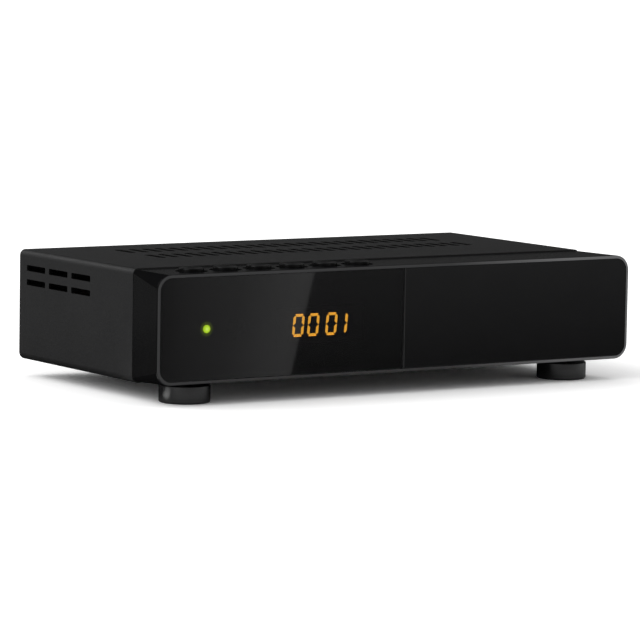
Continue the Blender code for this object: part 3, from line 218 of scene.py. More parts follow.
def loftLoops(name, loops, steps):  # bridges rounded rectangles into one closed skin
    bpy.ops.mesh.primitive_plane_add(size=1)
    piece = takePiece(name)
    openPiece(piece)
    bpy.ops.mesh.select_all(action="SELECT")
    bpy.ops.mesh.delete(type="VERT")
    count = 4 * (steps + 1)
    apart = tools["loopGap"]  # a loop is bridged this far from its place, so that no two share a plane
    for number, loop in enumerate(loops):
        addLoop(*loop[:4], loop[4] + apart, steps)
        if number:
            pick(piece, "VERT", lambda vert: vert.index >= (number - 1) * count)
            bpy.ops.mesh.bridge_edge_loops()
        pick(piece, "VERT", lambda vert: vert.index >= number * count)
        bpy.ops.transform.translate(value=(0, -apart, 0))
    for start in (0, (len(loops) - 1) * count):
        pick(piece, "VERT", lambda vert: start <= vert.index < start + count)
        bpy.ops.mesh.edge_face_add()
    bpy.ops.mesh.select_all(action="SELECT")
    bpy.ops.mesh.normals_make_consistent(inside=False)
    return closePiece(piece)


def finishPiece(piece, material, replaced=(), rides=body):
    makeActive(piece)
    bpy.ops.object.shade_smooth_by_angle(angle=math.radians(tools["smoothAngle"]))
    applyModifier(piece, "WEIGHTED_NORMAL", keep_sharp=True, weight=tools["normalWeight"])
    piece.data.materials.clear()
    piece.data.materials.append(material)
    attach(piece, rides)
    if replaced:
        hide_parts(*replaced)
    return piece


def paintFaces(piece, material, test):  # a further finish on the faces that pass the test
    piece.data.materials.append(material)
    openPiece(piece)
    pick(piece, "FACE", test)
    piece.active_material_index = len(piece.data.materials) - 1
    bpy.ops.object.material_slot_assign()
    return closePiece(piece)


# Materials

def startMaterial(name, look):  # a Principled material and its Object coordinates
    material = bpy.data.materials.new(name)
    material.use_nodes = True
    tree = material.node_tree
    shader = tree.nodes["Principled BSDF"]
    shader.inputs["Base Color"].default_value = (*look["colour"], 1)
    shader.inputs["Roughness"].default_value = look["roughness"]
    shader.inputs["Metallic"].default_value = look.get("metallic", 0)
    shader.inputs["Specular IOR Level"].default_value = look.get("specular", 0.5)
    place = tree.nodes.new("ShaderNodeTexCoord").outputs["Object"]
    return material, tree, shader, place


def addNoise(tree, place, scale, detail):
    noise = tree.nodes.new("ShaderNodeTexNoise")
    noise.inputs["Scale"].default_value = scale
    noise.inputs["Detail"].default_value = detail
    tree.links.new(place, noise.inputs["Vector"])
    return noise.outputs["Fac"]


def mapValue(tree, value, fromLow, fromHigh, toLow=0, toHigh=1):
    node = tree.nodes.new("ShaderNodeMapRange")
    names = ("From Min", "From Max", "To Min", "To Max")
    for name, level in zip(names, (fromLow, fromHigh, toLow, toHigh)):
        node.inputs[name].default_value = level
    tree.links.new(value, node.inputs["Value"])
    return node.outputs["Result"]


def splitAxes(tree, vector):  # the X, Y and Z outputs of a vector
    node = tree.nodes.new("ShaderNodeSeparateXYZ")
    tree.links.new(vector, node.inputs["Vector"])
    return node.outputs


def mixColours(tree, value, first, second):
    node = tree.nodes.new("ShaderNodeMix")
    node.data_type = "RGBA"
    node.inputs["A"].default_value = (*first, 1)
    node.inputs["B"].default_value = (*second, 1)
    tree.links.new(value, node.inputs["Factor"])
    return node.outputs["Result"]


def addBump(tree, shader, height, strength, depth):
    bump = tree.nodes.new("ShaderNodeBump")
    bump.inputs["Strength"].default_value = strength
    bump.inputs["Distance"].default_value = depth
    tree.links.new(height, bump.inputs["Height"])
    tree.links.new(bump.outputs["Normal"], shader.inputs["Normal"])


def grainMaterial(name, look):  # uneven tone and gloss over a fine grain
    material, tree, shader, place = startMaterial(name, look)
    span = patternLook["span"]
    patches = mapValue(tree, addNoise(tree, place, look["patchScale"], patternLook["patchDetail"]), *span)
    shift = look["patchShift"]
    shades = [tuple(min(1, part * (1 + side * shift)) for part in look["colour"]) for side in (-1, 1)]
    tree.links.new(mixColours(tree, patches, *shades), shader.inputs["Base Color"])
    grain = addNoise(tree, place, look["grainScale"], patternLook["grainDetail"])
    rough, part = look["roughness"], look["roughShift"]
    tree.links.new(mapValue(tree, grain, *span, rough - part, rough + part), shader.inputs["Roughness"])
    addBump(tree, shader, grain, look["grainStrength"], look["grainDepth"])
    return material


def glow(name, colour, strength):
    material, _, shader, _ = startMaterial(name, {"colour": colour, "roughness": patternLook["glowRoughness"]})
    shader.inputs["Emission Color"].default_value = (*colour, 1)
    shader.inputs["Emission Strength"].default_value = strength
    return material


patternLook = {"span": (0.3, 0.7), "patchDetail": 3, "grainDetail": 2, "glowRoughness": 0.4}

commonLook = {"metallic": 0, "specular": 0.5, "patchScale": 300, "patchShift": 0.1, "roughShift": 0.06,
              "grainScale": 5000, "grainStrength": 0.2, "grainDepth": 0.00002}
ownLooks = {  # what each finish has beyond or in place of the common look
    "paintedSheet": {"colour": (0.0092, 0.0092, 0.0096), "roughness": 0.5, "patchScale": 70,
                     "roughShift": 0.07, "grainScale": 2600, "grainStrength": 0.5, "grainDepth": 0.00006},
    "satinPlastic": {"colour": (0.0042, 0.0042, 0.0044), "roughness": 0.28, "specular": 0.03,
                     "patchScale": 90, "roughShift": 0.05, "grainScale": 5200, "grainStrength": 0.25},
    # a pale finish that paints the highlight on the seam bevel
    "seamHighlightEdge": {"colour": (0.022, 0.022, 0.0225), "roughness": 0.3, "specular": 0.3, "patchScale": 90,
                 "roughShift": 0.05, "grainScale": 5200, "grainStrength": 0.1},
    # no specular, so the bezel's slanted corners stay dark: painted shade
    "shadedCorner": {"colour": (0.0042, 0.0042, 0.0044), "roughness": 0.45, "specular": 0.0,
                   "patchScale": 90, "roughShift": 0.05, "grainScale": 5200, "grainStrength": 0.25},
    "glossPlastic": {"colour": (0.0052, 0.0052, 0.0055), "roughness": 0.06, "patchScale": 120,
                     "patchShift": 0.08, "roughShift": 0.015, "grainScale": 900, "grainStrength": 0.02,
                     "grainDepth": 0.00001},
    "buttonPlastic": {"colour": (0.0022, 0.0022, 0.0024), "roughness": 0.3, "specular": 0.2,
                      "patchShift": 0.08, "roughShift": 0.05, "grainScale": 6000},
    "footPlastic": {"colour": (0.01, 0.01, 0.0105), "roughness": 0.2, "specular": 0.4, "patchScale": 200,
                    "roughShift": 0.05, "grainScale": 4200},
    # a near-black finish that paints shade into vent walls and socket slots
    "paintedShade": {"colour": (0.002, 0.002, 0.002), "roughness": 0.7, "specular": 0.1, "patchShift": 0.2,
                 "roughShift": 0.1, "grainScale": 2600, "grainStrength": 0.4, "grainDepth": 0.00003},
    "galvanisedSheet": {"colour": (0.36, 0.37, 0.38), "roughness": 0.38, "metallic": 0.9,
                        "patchScale": 240, "patchShift": 0.14, "roughShift": 0.1, "grainScale": 1500,
                        "grainDepth": 0.00003},
    "chipPlastic": {"colour": (0.02, 0.02, 0.022), "roughness": 0.5, "patchScale": 400,
                    "roughShift": 0.08, "grainScale": 6000, "grainStrength": 0.3},
    "socketMetal": {"colour": (0.62, 0.61, 0.58), "roughness": 0.28, "metallic": 1, "patchShift": 0.08,
                    "roughShift": 0.08, "grainScale": 3000, "grainStrength": 0.15},
    "contactMetal": {"colour": (0.8, 0.58, 0.25), "roughness": 0.3, "metallic": 1, "patchScale": 500,
                     "patchShift": 0.08, "grainStrength": 0.1},
    "socketPlastic": {"colour": (0.018, 0.018, 0.02), "roughness": 0.45, "roughShift": 0.07,
                      "grainStrength": 0.25},
    "audioPlastic": {"colour": (0.75, 0.22, 0.03), "roughness": 0.42, "patchShift": 0.06},
    "whitePlastic": {"colour": (0.72, 0.7, 0.64), "roughness": 0.4, "patchShift": 0.05},
    "sleevePlastic": {"colour": (0.02, 0.03, 0.08), "roughness": 0.33, "grainScale": 2500,
                      "grainDepth": 0.00003},
    "linkPlastic": {"colour": (0.74, 0.71, 0.62), "roughness": 0.45, "patchShift": 0.05},
    "ribbonPlastic": {"colour": (0.42, 0.43, 0.45), "roughness": 0.5, "patchScale": 400,
                      "patchShift": 0.06, "grainScale": 3000, "grainDepth": 0.00003},
    "sinkMetal": {"colour": (0.045, 0.045, 0.05), "roughness": 0.42, "metallic": 0.6, "patchScale": 200,
                  "patchShift": 0.12, "roughShift": 0.08, "grainScale": 2600, "grainStrength": 0.25,
                  "grainDepth": 0.00003},
    "screwSteel": {"colour": (0.1, 0.1, 0.105), "roughness": 0.34, "metallic": 0.9, "patchScale": 700,
                   "patchShift": 0.2, "roughShift": 0.1, "grainScale": 4000, "grainStrength": 0.25},
    "lensPlastic": {"colour": (0.03, 0.008, 0.008), "roughness": 0.14, "patchScale": 500,
                    "roughShift": 0.03, "grainScale": 2500, "grainStrength": 0.05, "grainDepth": 0.00001},
    "displayFace": {"colour": (0.01, 0.008, 0.007), "roughness": 0.35, "roughShift": 0.05,
                    "grainScale": 4000, "grainStrength": 0.1, "grainDepth": 0.00001},
    "boardGreen": {"colour": (0.02, 0.1, 0.04), "roughness": 0.4, "patchScale": 160, "patchShift": 0.25,
                   "roughShift": 0.08, "grainScale": 1800, "grainDepth": 0.00003},
}
finishLooks = {name: {**commonLook, **look} for name, look in ownLooks.items()}
finishes = {name: grainMaterial(name, look) for name, look in finishLooks.items()}


def makeBezelMaterial():  # satin plastic with a gloss strip along its front edge, where a painted highlight is laid on
    material = grainMaterial("bezelPlastic", finishLooks["satinPlastic"])
    look, tree = bezelFinish, material.node_tree
    shader = tree.nodes["Principled BSDF"]
    satin = shader.inputs["Roughness"].links[0].from_socket
    shade = shader.inputs["Base Color"].links[0].from_socket
    axes = splitAxes(tree, tree.nodes["Texture Coordinate"].outputs["Object"])
    strip = cadLow.y + look["strip"]
    behind = mapValue(tree, axes["Y"], strip, strip + look["fade"])  # 0 on the strip, 1 behind it
    rough = tree.nodes.new("ShaderNodeMix")
    rough.inputs["A"].default_value = look["gloss"]
    tree.links.new(behind, rough.inputs["Factor"])
    tree.links.new(satin, rough.inputs["B"])
    tree.links.new(rough.outputs["Result"], shader.inputs["Roughness"])
    along = mapValue(tree, axes["X"], look["highlightFrom"], look["highlightTo"])  # the painted highlight on the edge grows paler to the right
    edge = mixColours(tree, along, look["highlightLeft"], look["highlightRight"])
    tone = tree.nodes.new("ShaderNodeMix")
    tone.data_type = "RGBA"
    tree.links.new(edge, tone.inputs["A"])
    tree.links.new(behind, tone.inputs["Factor"])
    tree.links.new(shade, tone.inputs["B"])
    tree.links.new(tone.outputs["Result"], shader.inputs["Base Color"])
    return material


# the two edge colours paint the highlight of the rim's light line
bezelFinish = {"strip": 0.00012, "fade": 0.00015, "gloss": 0.16, "highlightLeft": (0.047, 0.047, 0.048),
               "highlightRight": (0.140, 0.140, 0.142), "highlightFrom": 0.018, "highlightTo": 0.06}
finishes["bezelPlastic"] = makeBezelMaterial()


def makeWindowMaterial():  # smoked pane: a little of the light behind it comes through
    look = finishLooks["glossPlastic"]
    material = grainMaterial("smokedWindow", look)
    shader = material.node_tree.nodes["Principled BSDF"]
    shader.inputs["Alpha"].default_value = windowLook["cover"]
    return material


windowLook = {"cover": 0.72}
finishes["smokedWindow"] = makeWindowMaterial()
print("materials ready")


# Stage: floor, light, reflection cards and camera

cameraLook = {"place": (-0.67592, -1.03816, 0.14805), "azimuth": 33.190, "pitch": 6.028, "roll": 0.940,
              "lens": 229.125, "farEnd": 100}


def makeCamera():
    look = cameraLook
    camera = bpy.data.objects.new("camera", bpy.data.cameras.new("camera"))
    bpy.context.scene.collection.objects.link(camera)
    turn = Matrix.Rotation(-math.radians(look["azimuth"]), 4, "Z")
    turn @= Matrix.Rotation(math.pi / 2 - math.radians(look["pitch"]), 4, "X")
    turn @= Matrix.Rotation(math.radians(look["roll"]), 4, "Z")
    camera.matrix_world = Matrix.Translation(look["place"]) @ turn
    camera.data.lens = look["lens"]
    camera.data.clip_end = look["farEnd"]
    bpy.context.scene.camera = camera


lightLook = {"ambient": 0.84, "sunPower": 1.5, "sunAngle": 56, "sunTilt": (-16, -52)}


def makeLight():
    look = lightLook
    lamp = bpy.data.lights.new("softLight", "SUN")
    lamp.energy = look["sunPower"]
    lamp.angle = math.radians(look["sunAngle"])
    sun = bpy.data.objects.new("softLight", lamp)
    sun.rotation_euler = [math.radians(part) for part in (look["sunTilt"][0], look["sunTilt"][1], 0)]
    bpy.context.scene.collection.objects.link(sun)
    world = bpy.data.worlds.new("paleRoom")
    bpy.context.scene.world = world
    world.use_nodes = True
    tree = world.node_tree
    tree.nodes.clear()
    strength = mapValue(tree, seenRays(tree), 0, 1, look["ambient"], 1)
    back = tree.nodes.new("ShaderNodeBackground")
    back.inputs["Color"].default_value = (1, 1, 1, 1)
    tree.links.new(strength, back.inputs["Strength"])
    tree.links.new(back.outputs["Background"], tree.nodes.new("ShaderNodeOutputWorld").inputs["Surface"])


def seenRays(tree):  # 1 for camera, glossy and transmission rays
    rays = tree.nodes.new("ShaderNodeLightPath")
    total = rays.outputs["Is Camera Ray"]
    for kind in ("Is Glossy Ray", "Is Transmission Ray"):
        most = tree.nodes.new("ShaderNodeMath")
        most.operation = "MAXIMUM"
        tree.links.new(total, most.inputs[0])
        tree.links.new(rays.outputs[kind], most.inputs[1])
        total = most.outputs["Value"]
    return total


floorLook = {"size": 40, "shown": 1.25, "seen": 0.98, "bounce": 0.8, "mirrored": 0.05,
             "edge": (-0.06, -0.02), "patchLight": 3.2,
             "patchLow": (-0.106, -0.037, 0.0003), "patchHigh": (-0.085, -0.024, 0.0003)}


def makeFloor():
    bpy.ops.mesh.primitive_plane_add(size=floorLook["size"])
    floor = takePiece("floor")
    shown, seen, bounce, mirrored = [floorLook[key] for key in ("shown", "seen", "bounce", "mirrored")]
    plain = {"colour": (bounce,) * 3, "roughness": 1, "specular": 0}
    material, tree, shader, place = startMaterial("paleFloor", plain)
    # beside and behind the object reflections stay dark
    behind = mapValue(tree, splitAxes(tree, place)["Y"], *floorLook["edge"])
    rays = tree.nodes.new("ShaderNodeLightPath")
    dark = tree.nodes.new("ShaderNodeMath")
    dark.operation = "MULTIPLY"
    tree.links.new(behind, dark.inputs[0])
    tree.links.new(rays.outputs["Is Glossy Ray"], dark.inputs[1])
    tone = mixColours(tree, seenRays(tree), (bounce,) * 3, (seen,) * 3)
    for factor, level in ((rays.outputs["Is Camera Ray"], shown), (dark.outputs["Value"], mirrored)):
        final = tree.nodes.new("ShaderNodeMix")
        final.data_type = "RGBA"
        final.inputs["B"].default_value = (level, level, level, 1)
        tree.links.new(factor, final.inputs["Factor"])
        tree.links.new(tone, final.inputs["A"])
        tone = final.outputs["Result"]
    tree.links.new(tone, shader.inputs["Base Color"])
    floor.data.materials.append(material)


def showMirroredOnly(piece):
    piece.visible_camera = piece.visible_diffuse = piece.visible_shadow = piece.visible_transmission = False


def startLight(name):  # a material of plain light, and its Object coordinates
    material = bpy.data.materials.new(name)
    material.use_nodes = True
    tree = material.node_tree
    tree.nodes.clear()
    light = tree.nodes.new("ShaderNodeEmission")
    tree.links.new(light.outputs["Emission"], tree.nodes.new("ShaderNodeOutputMaterial").inputs["Surface"])
    return material, tree, light, tree.nodes.new("ShaderNodeTexCoord").outputs["Object"]


def makeFloorPatch():  # a light strip seen only as the highlight on the front foot
    low, high = Vector(floorLook["patchLow"]), Vector(floorLook["patchHigh"])
    bpy.ops.mesh.primitive_plane_add(size=1)
    patch = takePiece("floorPatch")
    patch.data.transform(Matrix.Diagonal((high.x - low.x, high.y - low.y, 1, 1)))
    patch.data.transform(Matrix.Translation((low + high) / 2))
    patch.data.materials.append(glow("patchGlow", (1, 1, 1), floorLook["patchLight"]))
    showMirroredOnly(patch)


# A card in front of the gloss plate, seen only in reflections: pale left of a slanted edge, dark beyond
cardLook = {"gap": 0.04, "left": -0.137, "right": 0.40, "low": 0.0005, "high": 0.25,
            "edgeTop": (-0.00445, 0.0326), "edgeLow": (-0.0125, 0.0012),
            "steps": ((0.0, 0.70), (0.012, 0.56), (0.024, 0.34), (0.041, 0.20), (0.052, 0.04)), "dark": 0.05,
            "sharp": 0.012, "rise": (0.0, 0.034, 0.15)}


def makeCard():
    look = cardLook
    along = cadLow.y - look["gap"]
    bpy.ops.mesh.primitive_plane_add(size=1, rotation=(math.pi / 2, 0, 0))
    card = takePiece("reflectionCard")
    width, height = look["right"] - look["left"], look["high"] - look["low"]
    card.data.transform(Matrix.Diagonal((width, 1, height, 1)))
    middle = (look["left"] + width / 2, along, look["low"] + height / 2)
    card.data.transform(Matrix.Translation(middle))
    material, tree, light, place = startLight("reflectionCard")
    top, low = Vector(look["edgeTop"]), Vector(look["edgeLow"])
    lean = math.atan2(top.x - low.x, top.y - low.y)
    mapping = tree.nodes.new("ShaderNodeMapping")
    mapping.vector_type = "TEXTURE"  # the origin goes to the edge's top and X runs square to the edge
    mapping.inputs["Location"].default_value = (top.x, 0, top.y)
    mapping.inputs["Rotation"].default_value = (0, lean, 0)
    tree.links.new(place, mapping.inputs["Vector"])
    reach = look["steps"][-1][0]
    ramp = tree.nodes.new("ShaderNodeValToRGB")  # from the edge to the left
    away = mapValue(tree, splitAxes(tree, mapping.outputs["Vector"])["X"], 0, -reach)
    tree.links.new(away, ramp.inputs["Fac"])
    stops = ramp.color_ramp.elements
    stops[0].position, stops[0].color = 0, (look["dark"],) * 3 + (1,)
    stops[1].position, stops[1].color = 1, (look["steps"][-1][1],) * 3 + (1,)
    for distance, level in look["steps"][:-1]:
        stops.new(max(distance / reach, look["sharp"])).color = (level,) * 3 + (1,)
    start, end, most = look["rise"]
    rise = mapValue(tree, splitAxes(tree, place)["Z"], start, end, 0, most)  # paler with height
    total = tree.nodes.new("ShaderNodeVectorMath")
    tree.links.new(ramp.outputs["Color"], total.inputs[0])
    tree.links.new(rise, total.inputs[1])
    tree.links.new(total.outputs["Vector"], light.inputs["Color"])
    card.data.materials.append(material)
    showMirroredOnly(card)


# Cards seen only in reflections: low and high corner, two levels of light and the heights of these
cardLooks = {"backCard": ((-1.0, 0.15, 0.0), (1.0, 0.15, 0.5), (0.20, 0.012), (0.0, 0.13)),
             "foldCard": ((-0.155, 0.149, 0.09), (-0.095, 0.149, 0.19), (1.4, 1.4), (0.0, 1.0))}


def makeUprightCard(name, low, high, levels, heights):
    low, high = Vector(low), Vector(high)
    side = Vector((high.x - low.x, high.y - low.y, 0))
    bpy.ops.mesh.primitive_plane_add(size=1, rotation=(math.pi / 2, 0, 0))
    card = takePiece(name)
    card.data.transform(Matrix.Diagonal((side.length, 1, high.z - low.z, 1)))
    card.data.transform(Matrix.Rotation(math.atan2(side.y, side.x), 4, "Z"))
    card.data.transform(Matrix.Translation((low + high) / 2))
    material, tree, light, place = startLight(name)
    level = mapValue(tree, splitAxes(tree, place)["Z"], *heights, *levels)
    tree.links.new(level, light.inputs["Strength"])
    card.data.materials.append(material)
    showMirroredOnly(card)


makeCamera()
makeLight()
makeFloor()
makeFloorPatch()
makeCard()
for name, facts in cardLooks.items():
    makeUprightCard(name, *facts)
bpy.context.scene.view_settings.view_transform = "Standard"
print("stage ready")


# Folded cover with its vents

coverLook = {"sheet": 0.0008, "topFold": 0.0018, "bottomFold": 0.0022, "lip": 0.006, "foldSteps": 8,
             "edge": 0.00008, "slotLength": 0.0105, "slotWidth": 0.0026, "slotPitch": 0.00464,
             "slotFirst": -0.0543, "slots": 25, "slotRows": (0.0366, 0.0189),
             "sideLength": 0.0112, "sideHeight": 0.0018, "sidePitch": 0.0135, "sideLast": 0.0101,
             "sideSlots": 3, "sideDrops": (0.0053, 0.0096), "sideCorner": 0.0003, "sideSteps": 3,
             "slotSides": 20, "wallReach": 0.6, "wallBand": 0.4, "wallTilt": 0.5}


def makeSlotCutters(high):
    look = coverLook
    radius, top = look["slotWidth"] / 2, high.z
    bpy.ops.mesh.primitive_cylinder_add(vertices=look["slotSides"], radius=radius, depth=4 * look["sheet"])
    slot = takePiece("slotCutter")
    openPiece(slot)
    reach = (look["slotLength"] - look["slotWidth"]) / 2
    for side in (-1, 1):
        pick(slot, "VERT", lambda vert: vert.co.y * side > tools["near"])
        bpy.ops.transform.translate(value=(0, side * reach, 0))
    closePiece(slot)
    cutters = []
    for row in look["slotRows"]:
        for number in range(look["slots"]):
            across = look["slotFirst"] + number * look["slotPitch"]
            cutters.append(copyPiece(slot, "slotCopy", (across, high.y - row, top)))
    bpy.data.objects.remove(slot)
    return joinPieces(cutters, "topSlots")


def makeSideCutters(high):
    look = coverLook
    half = Vector((high.x + look["sheet"], look["sideLength"] / 2, look["sideHeight"] / 2))
    cutters = []
    for drop in look["sideDrops"]:
        for number in range(look["sideSlots"]):
            middle = Vector((0, high.y - look["sideLast"] - number * look["sidePitch"], high.z - drop))
            cutter = addBlock("sideSlot", middle - half, middle + half)
            openPiece(cutter)
            pick(cutter, "EDGE", lambda edge: runsAlong(edge, "X"))
            bpy.ops.mesh.bevel(offset=look["sideCorner"], segments=look["sideSteps"])
            cutters.append(closePiece(cutter))
    return joinPieces(cutters, "sideSlots")


def makeCover():
    look = coverLook
    low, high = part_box("top_cover")
    cover = addBlock("coverShell", low, high)
    openPiece(cover)
    pick(cover, "FACE", lambda face: abs(face.normal.y) > tools["straight"])
    bpy.ops.mesh.delete(type="FACE")
    for level, fold in ((high.z, look["topFold"]), (low.z, look["bottomFold"])):
        pick(cover, "EDGE", lambda edge: runsAlong(edge, "Y") and near(edgeMiddle(edge).z, level))
        bpy.ops.mesh.bevel(offset=fold, segments=look["foldSteps"])
    for side in (-1, 1):
        bpy.ops.mesh.select_all(action="SELECT")
        bpy.ops.mesh.bisect(plane_co=(side * (high.x - look["lip"]), 0, 0), plane_no=(1, 0, 0))
    inner = high.x - look["lip"]
    pick(cover, "FACE", lambda face: near(face.calc_center_median().z, low.z)
         and abs(face.calc_center_median().x) < inner)
    bpy.ops.mesh.delete(type="FACE")
    closePiece(cover)
    applyModifier(cover, "SOLIDIFY", thickness=look["sheet"], offset=-1, use_even_offset=True)
    softenEdges(cover, look["edge"])
    combine(cover, makeSlotCutters(high))
    combine(cover, makeSideCutters(high))
    finishPiece(cover, finishes["paintedSheet"], ("top_cover",))
    paintVentShade(cover, high)


def paintVentShade(cover, high):  # the cut walls of the vents are painted dark: painted shade inside the slots
    look = coverLook
    topLevel = high.z - look["sheet"] / 2
    sideLevel = high.x - look["sheet"] / 2

    reach, band = look["slotLength"] * look["wallReach"], look["sheet"] * look["wallBand"]
    tilt = look["wallTilt"]

    def isWall(face):
        spot = face.calc_center_median()
        inRows = any(abs(spot.y - high.y + row) < reach for row in look["slotRows"])
        onTop = abs(spot.z - topLevel) < band and abs(face.normal.z) < tilt and inRows
        level = any(abs(spot.z - high.z + drop) < look["sideHeight"] for drop in look["sideDrops"])
        onSide = abs(abs(spot.x) - sideLevel) < band and abs(face.normal.x) < tilt and level
        return onTop or (onSide and abs(spot.y) < high.y - look["sheet"] and spot.y > 0)

    paintFaces(cover, finishes["paintedShade"], isWall)


makeCover()
print("cover ready")


# Front bezel

bezelLook = {"rim": 0.0009, "paneInset": 0.0012, "paneGap": 0.0003, "corner": 0.0047, "rearCorner": 0.0013,
             "sideStep": 0.00008, "topStep": 0.0004, "rimDepth": 0.0008, "pocket": 0.0026, "wall": 0.002,
             "innerCorner": 0.0005, "cornerSteps": 8, "edge": 0.00018, "edgeSteps": 3, "caseGap": 0.00004,
             "dishRadius": 0.0048, "dishDepth": 0.0007, "bore": 0.0040, "boreDepth": 0.004,
             "frontRound": 0.00045, "roundSteps": 4, "cornerSlack": 0.15}


def makeBezel():
    look = bezelLook
    front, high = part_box("front_fascia")
    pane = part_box("display_window")
    case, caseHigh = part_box("top_cover")
    halfWidth = high.x
    top, bottom = high.z, pane[0].z - look["paneInset"]
    halfHeight, middle = (top - bottom) / 2, (top + bottom) / 2
    rear = case.y - look["caseGap"]
    rearWidth, rearHeight = caseHigh.x - look["sideStep"], (caseHigh.z - case.z) / 2 - look["topStep"]
    rearMiddle = (caseHigh.z + case.z) / 2
    start, wallFront = front.y + look["rimDepth"], front.y + look["pocket"]
    wallRear = wallFront + look["wall"]

    def skin(along, inset):  # the flared outside at a place along Y, drawn in by an inset
        share = (along - start) / (rear - start)
        corner = look["corner"] + share * (look["rearCorner"] - look["corner"])
        return (halfWidth + share * (rearWidth - halfWidth) - inset,
                halfHeight + share * (rearHeight - halfHeight) - inset,
                max(corner - inset, look["innerCorner"]), middle + share * (rearMiddle - middle), along)

    rim = (halfWidth - look["rim"], halfHeight - look["rim"], look["corner"] - look["rim"], middle)
    loops = [(*rim, wallFront), (*rim, front.y)]
    for step in range(look["roundSteps"] + 1):  # the rounded front edge
        turn = math.pi / 2 * step / look["roundSteps"]
        inset = look["frontRound"] * (1 - math.sin(turn))
        along = front.y + look["frontRound"] * (1 - math.cos(turn))
        loops.append((halfWidth - inset, halfHeight - inset, look["corner"] - inset, middle, along))
    loops += [(halfWidth, halfHeight, look["corner"], middle, start), skin(rear, 0),
              skin(rear, look["wall"]), skin(wallRear, look["wall"])]
    bezel = loftLoops("bezelShell", loops, look["cornerSteps"])
    cutButtonWells(bezel)
    cutFrontWall(bezel, wallFront, wallRear)
    softenEdges(bezel, look["edge"], look["edgeSteps"])
    finishPiece(bezel, finishes["bezelPlastic"], ("front_fascia",))
    slack = look["cornerSlack"]
    # the slanted corners get no reflection, so they render dark: painted shade
    paintFaces(bezel, finishes["shadedCorner"], lambda face: min(abs(face.normal.x), abs(face.normal.z)) > slack
               and start < face.calc_center_median().y < rear)


def cutButtonWells(bezel):
    look = bezelLook
    for number in buttonNumbers:
        low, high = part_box(f"button_{number}")
        middle = (low + high) / 2
        surface = high.z - buttonLook["proud"]
        slope, rise = (look["dishRadius"] - look["bore"]) / look["dishDepth"], buttonLook["proud"]
        profile = [(0, -look["boreDepth"]), (look["bore"], -look["boreDepth"]),
                   (look["bore"], -look["dishDepth"]), (look["dishRadius"] + slope * rise, rise), (0, rise)]
        combine(bezel, turnPiece("well", profile, (middle.x, middle.y, surface)))


def cutFrontWall(bezel, wallFront, wallRear):
    gap = bezelLook["paneGap"]
    low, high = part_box("digit_display")
    reach = Vector((gap, 0, gap))
    start, end = wallFront - gap, wallRear + gap
    opening = addBlock("displayOpening", Vector((low.x, start, low.z)) - reach,
                       Vector((high.x, end, high.z)) + reach)
    combine(bezel, opening)
    for node in ("status_lamp", "ir_receiver"):
        low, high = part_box(node)
        middle = (low + high) / 2
        radius = (high.x - low.x) / 2 + gap
        combine(bezel, addRod("hole", radius, (middle.x, start, middle.z), (middle.x, end, middle.z)))


buttonLook = {"proud": 0.001, "radius": 0.0037, "round": 0.0004, "hollow": 0.00035, "flange": 0.0046,
              "flangeThickness": 0.0008, "stem": 0.0015, "stemLength": 0.0011, "sides": 56}


def makeButtons():
    look = buttonLook
    for number in buttonNumbers:
        low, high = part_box(f"button_{number}")
        middle = (low + high) / 2
        top, flangeTop = high.z - low.z, look["stemLength"] + look["flangeThickness"]
        profile = [(0, 0), (look["stem"], 0), (look["stem"], look["stemLength"]),
                   (look["flange"], look["stemLength"]), (look["flange"], flangeTop),
                   (look["radius"], flangeTop), (look["radius"], top),
                   (look["radius"] - 2 * look["round"], top), (0, top - look["hollow"])]
        profile = roundCorners(profile, look["round"])
        seat = (middle.x, middle.y, low.z)
        cap = turnPiece(f"buttonCap{number}", profile, seat, "Z", look["sides"])
        node = f"button_{number}"
        finishPiece(cap, finishes["buttonPlastic"], (node,), node)


makeBezel()
makeButtons()
print("bezel and buttons ready")


# Window and trim panel

paneLook = {"corner": 0.0037, "cornerSteps": 8, "edge": 0.00012, "grow": 0.00024, "seamHighlightEdge": 0.00028,
            "seamTilt": 0.3}


def makePane(name, node, material, roundSide):
    look = paneLook
    low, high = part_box(node)
    grow = Vector((look["grow"], 0, look["grow"]))
    low, high = low - grow, high + grow
    if roundSide > 0:
        low.x += look["grow"]
    else:
        high.x -= look["grow"]
    pane = addBlock(name, low, high)
    outer = high.x if roundSide > 0 else low.x
    openPiece(pane)
    pick(pane, "EDGE", lambda edge: runsAlong(edge, "Y") and near(edgeMiddle(edge).x, outer))
    bpy.ops.mesh.bevel(offset=look["corner"], segments=look["cornerSteps"])
    if roundSide > 0:  # the long bevel that catches the light at the seam
        pick(pane, "EDGE", lambda edge: runsAlong(edge, "Z") and near(edgeMiddle(edge).x, low.x)
             and near(edgeMiddle(edge).y, low.y))
        bpy.ops.mesh.bevel(offset=look["seamHighlightEdge"], segments=1)
    closePiece(pane)
    softenEdges(pane, look["edge"])
    finishPiece(pane, material, (node,))
    if roundSide > 0:
        # the seam bevel is painted paler: a painted highlight
        paintFaces(pane, finishes["seamHighlightEdge"], lambda face: face.normal.x < -look["seamTilt"]
                   and face.calc_center_median().x < low.x + look["seamHighlightEdge"])


makePane("smokedPane", "display_window", finishes["smokedWindow"], -1)
makePane("trimPane", "front_trim_panel", finishes["glossPlastic"], 1)
print("panes ready")


# Display digits and lamp light

digitLook = {"centres": (-0.03453, -0.02936, -0.02303, -0.01939), "low": 0.0183, "height": 0.00665,
             "width": 0.0038, "bar": 0.00080, "gap": 0.00016, "thickness": 0.00012, "slant": 0.09,
             "colour": (1.0, 0.47, 0.045), "strength": 8.5, "lift": 0.00005,
             "crossEndShare": 0.72, "sideEndShare": 0.62, "crossInShare": 0.6, "crossOutShare": 0.35,
             "sideMiddleShare": 0.7, "sideInShare": 0.3, "sideOutShare": 0.62}


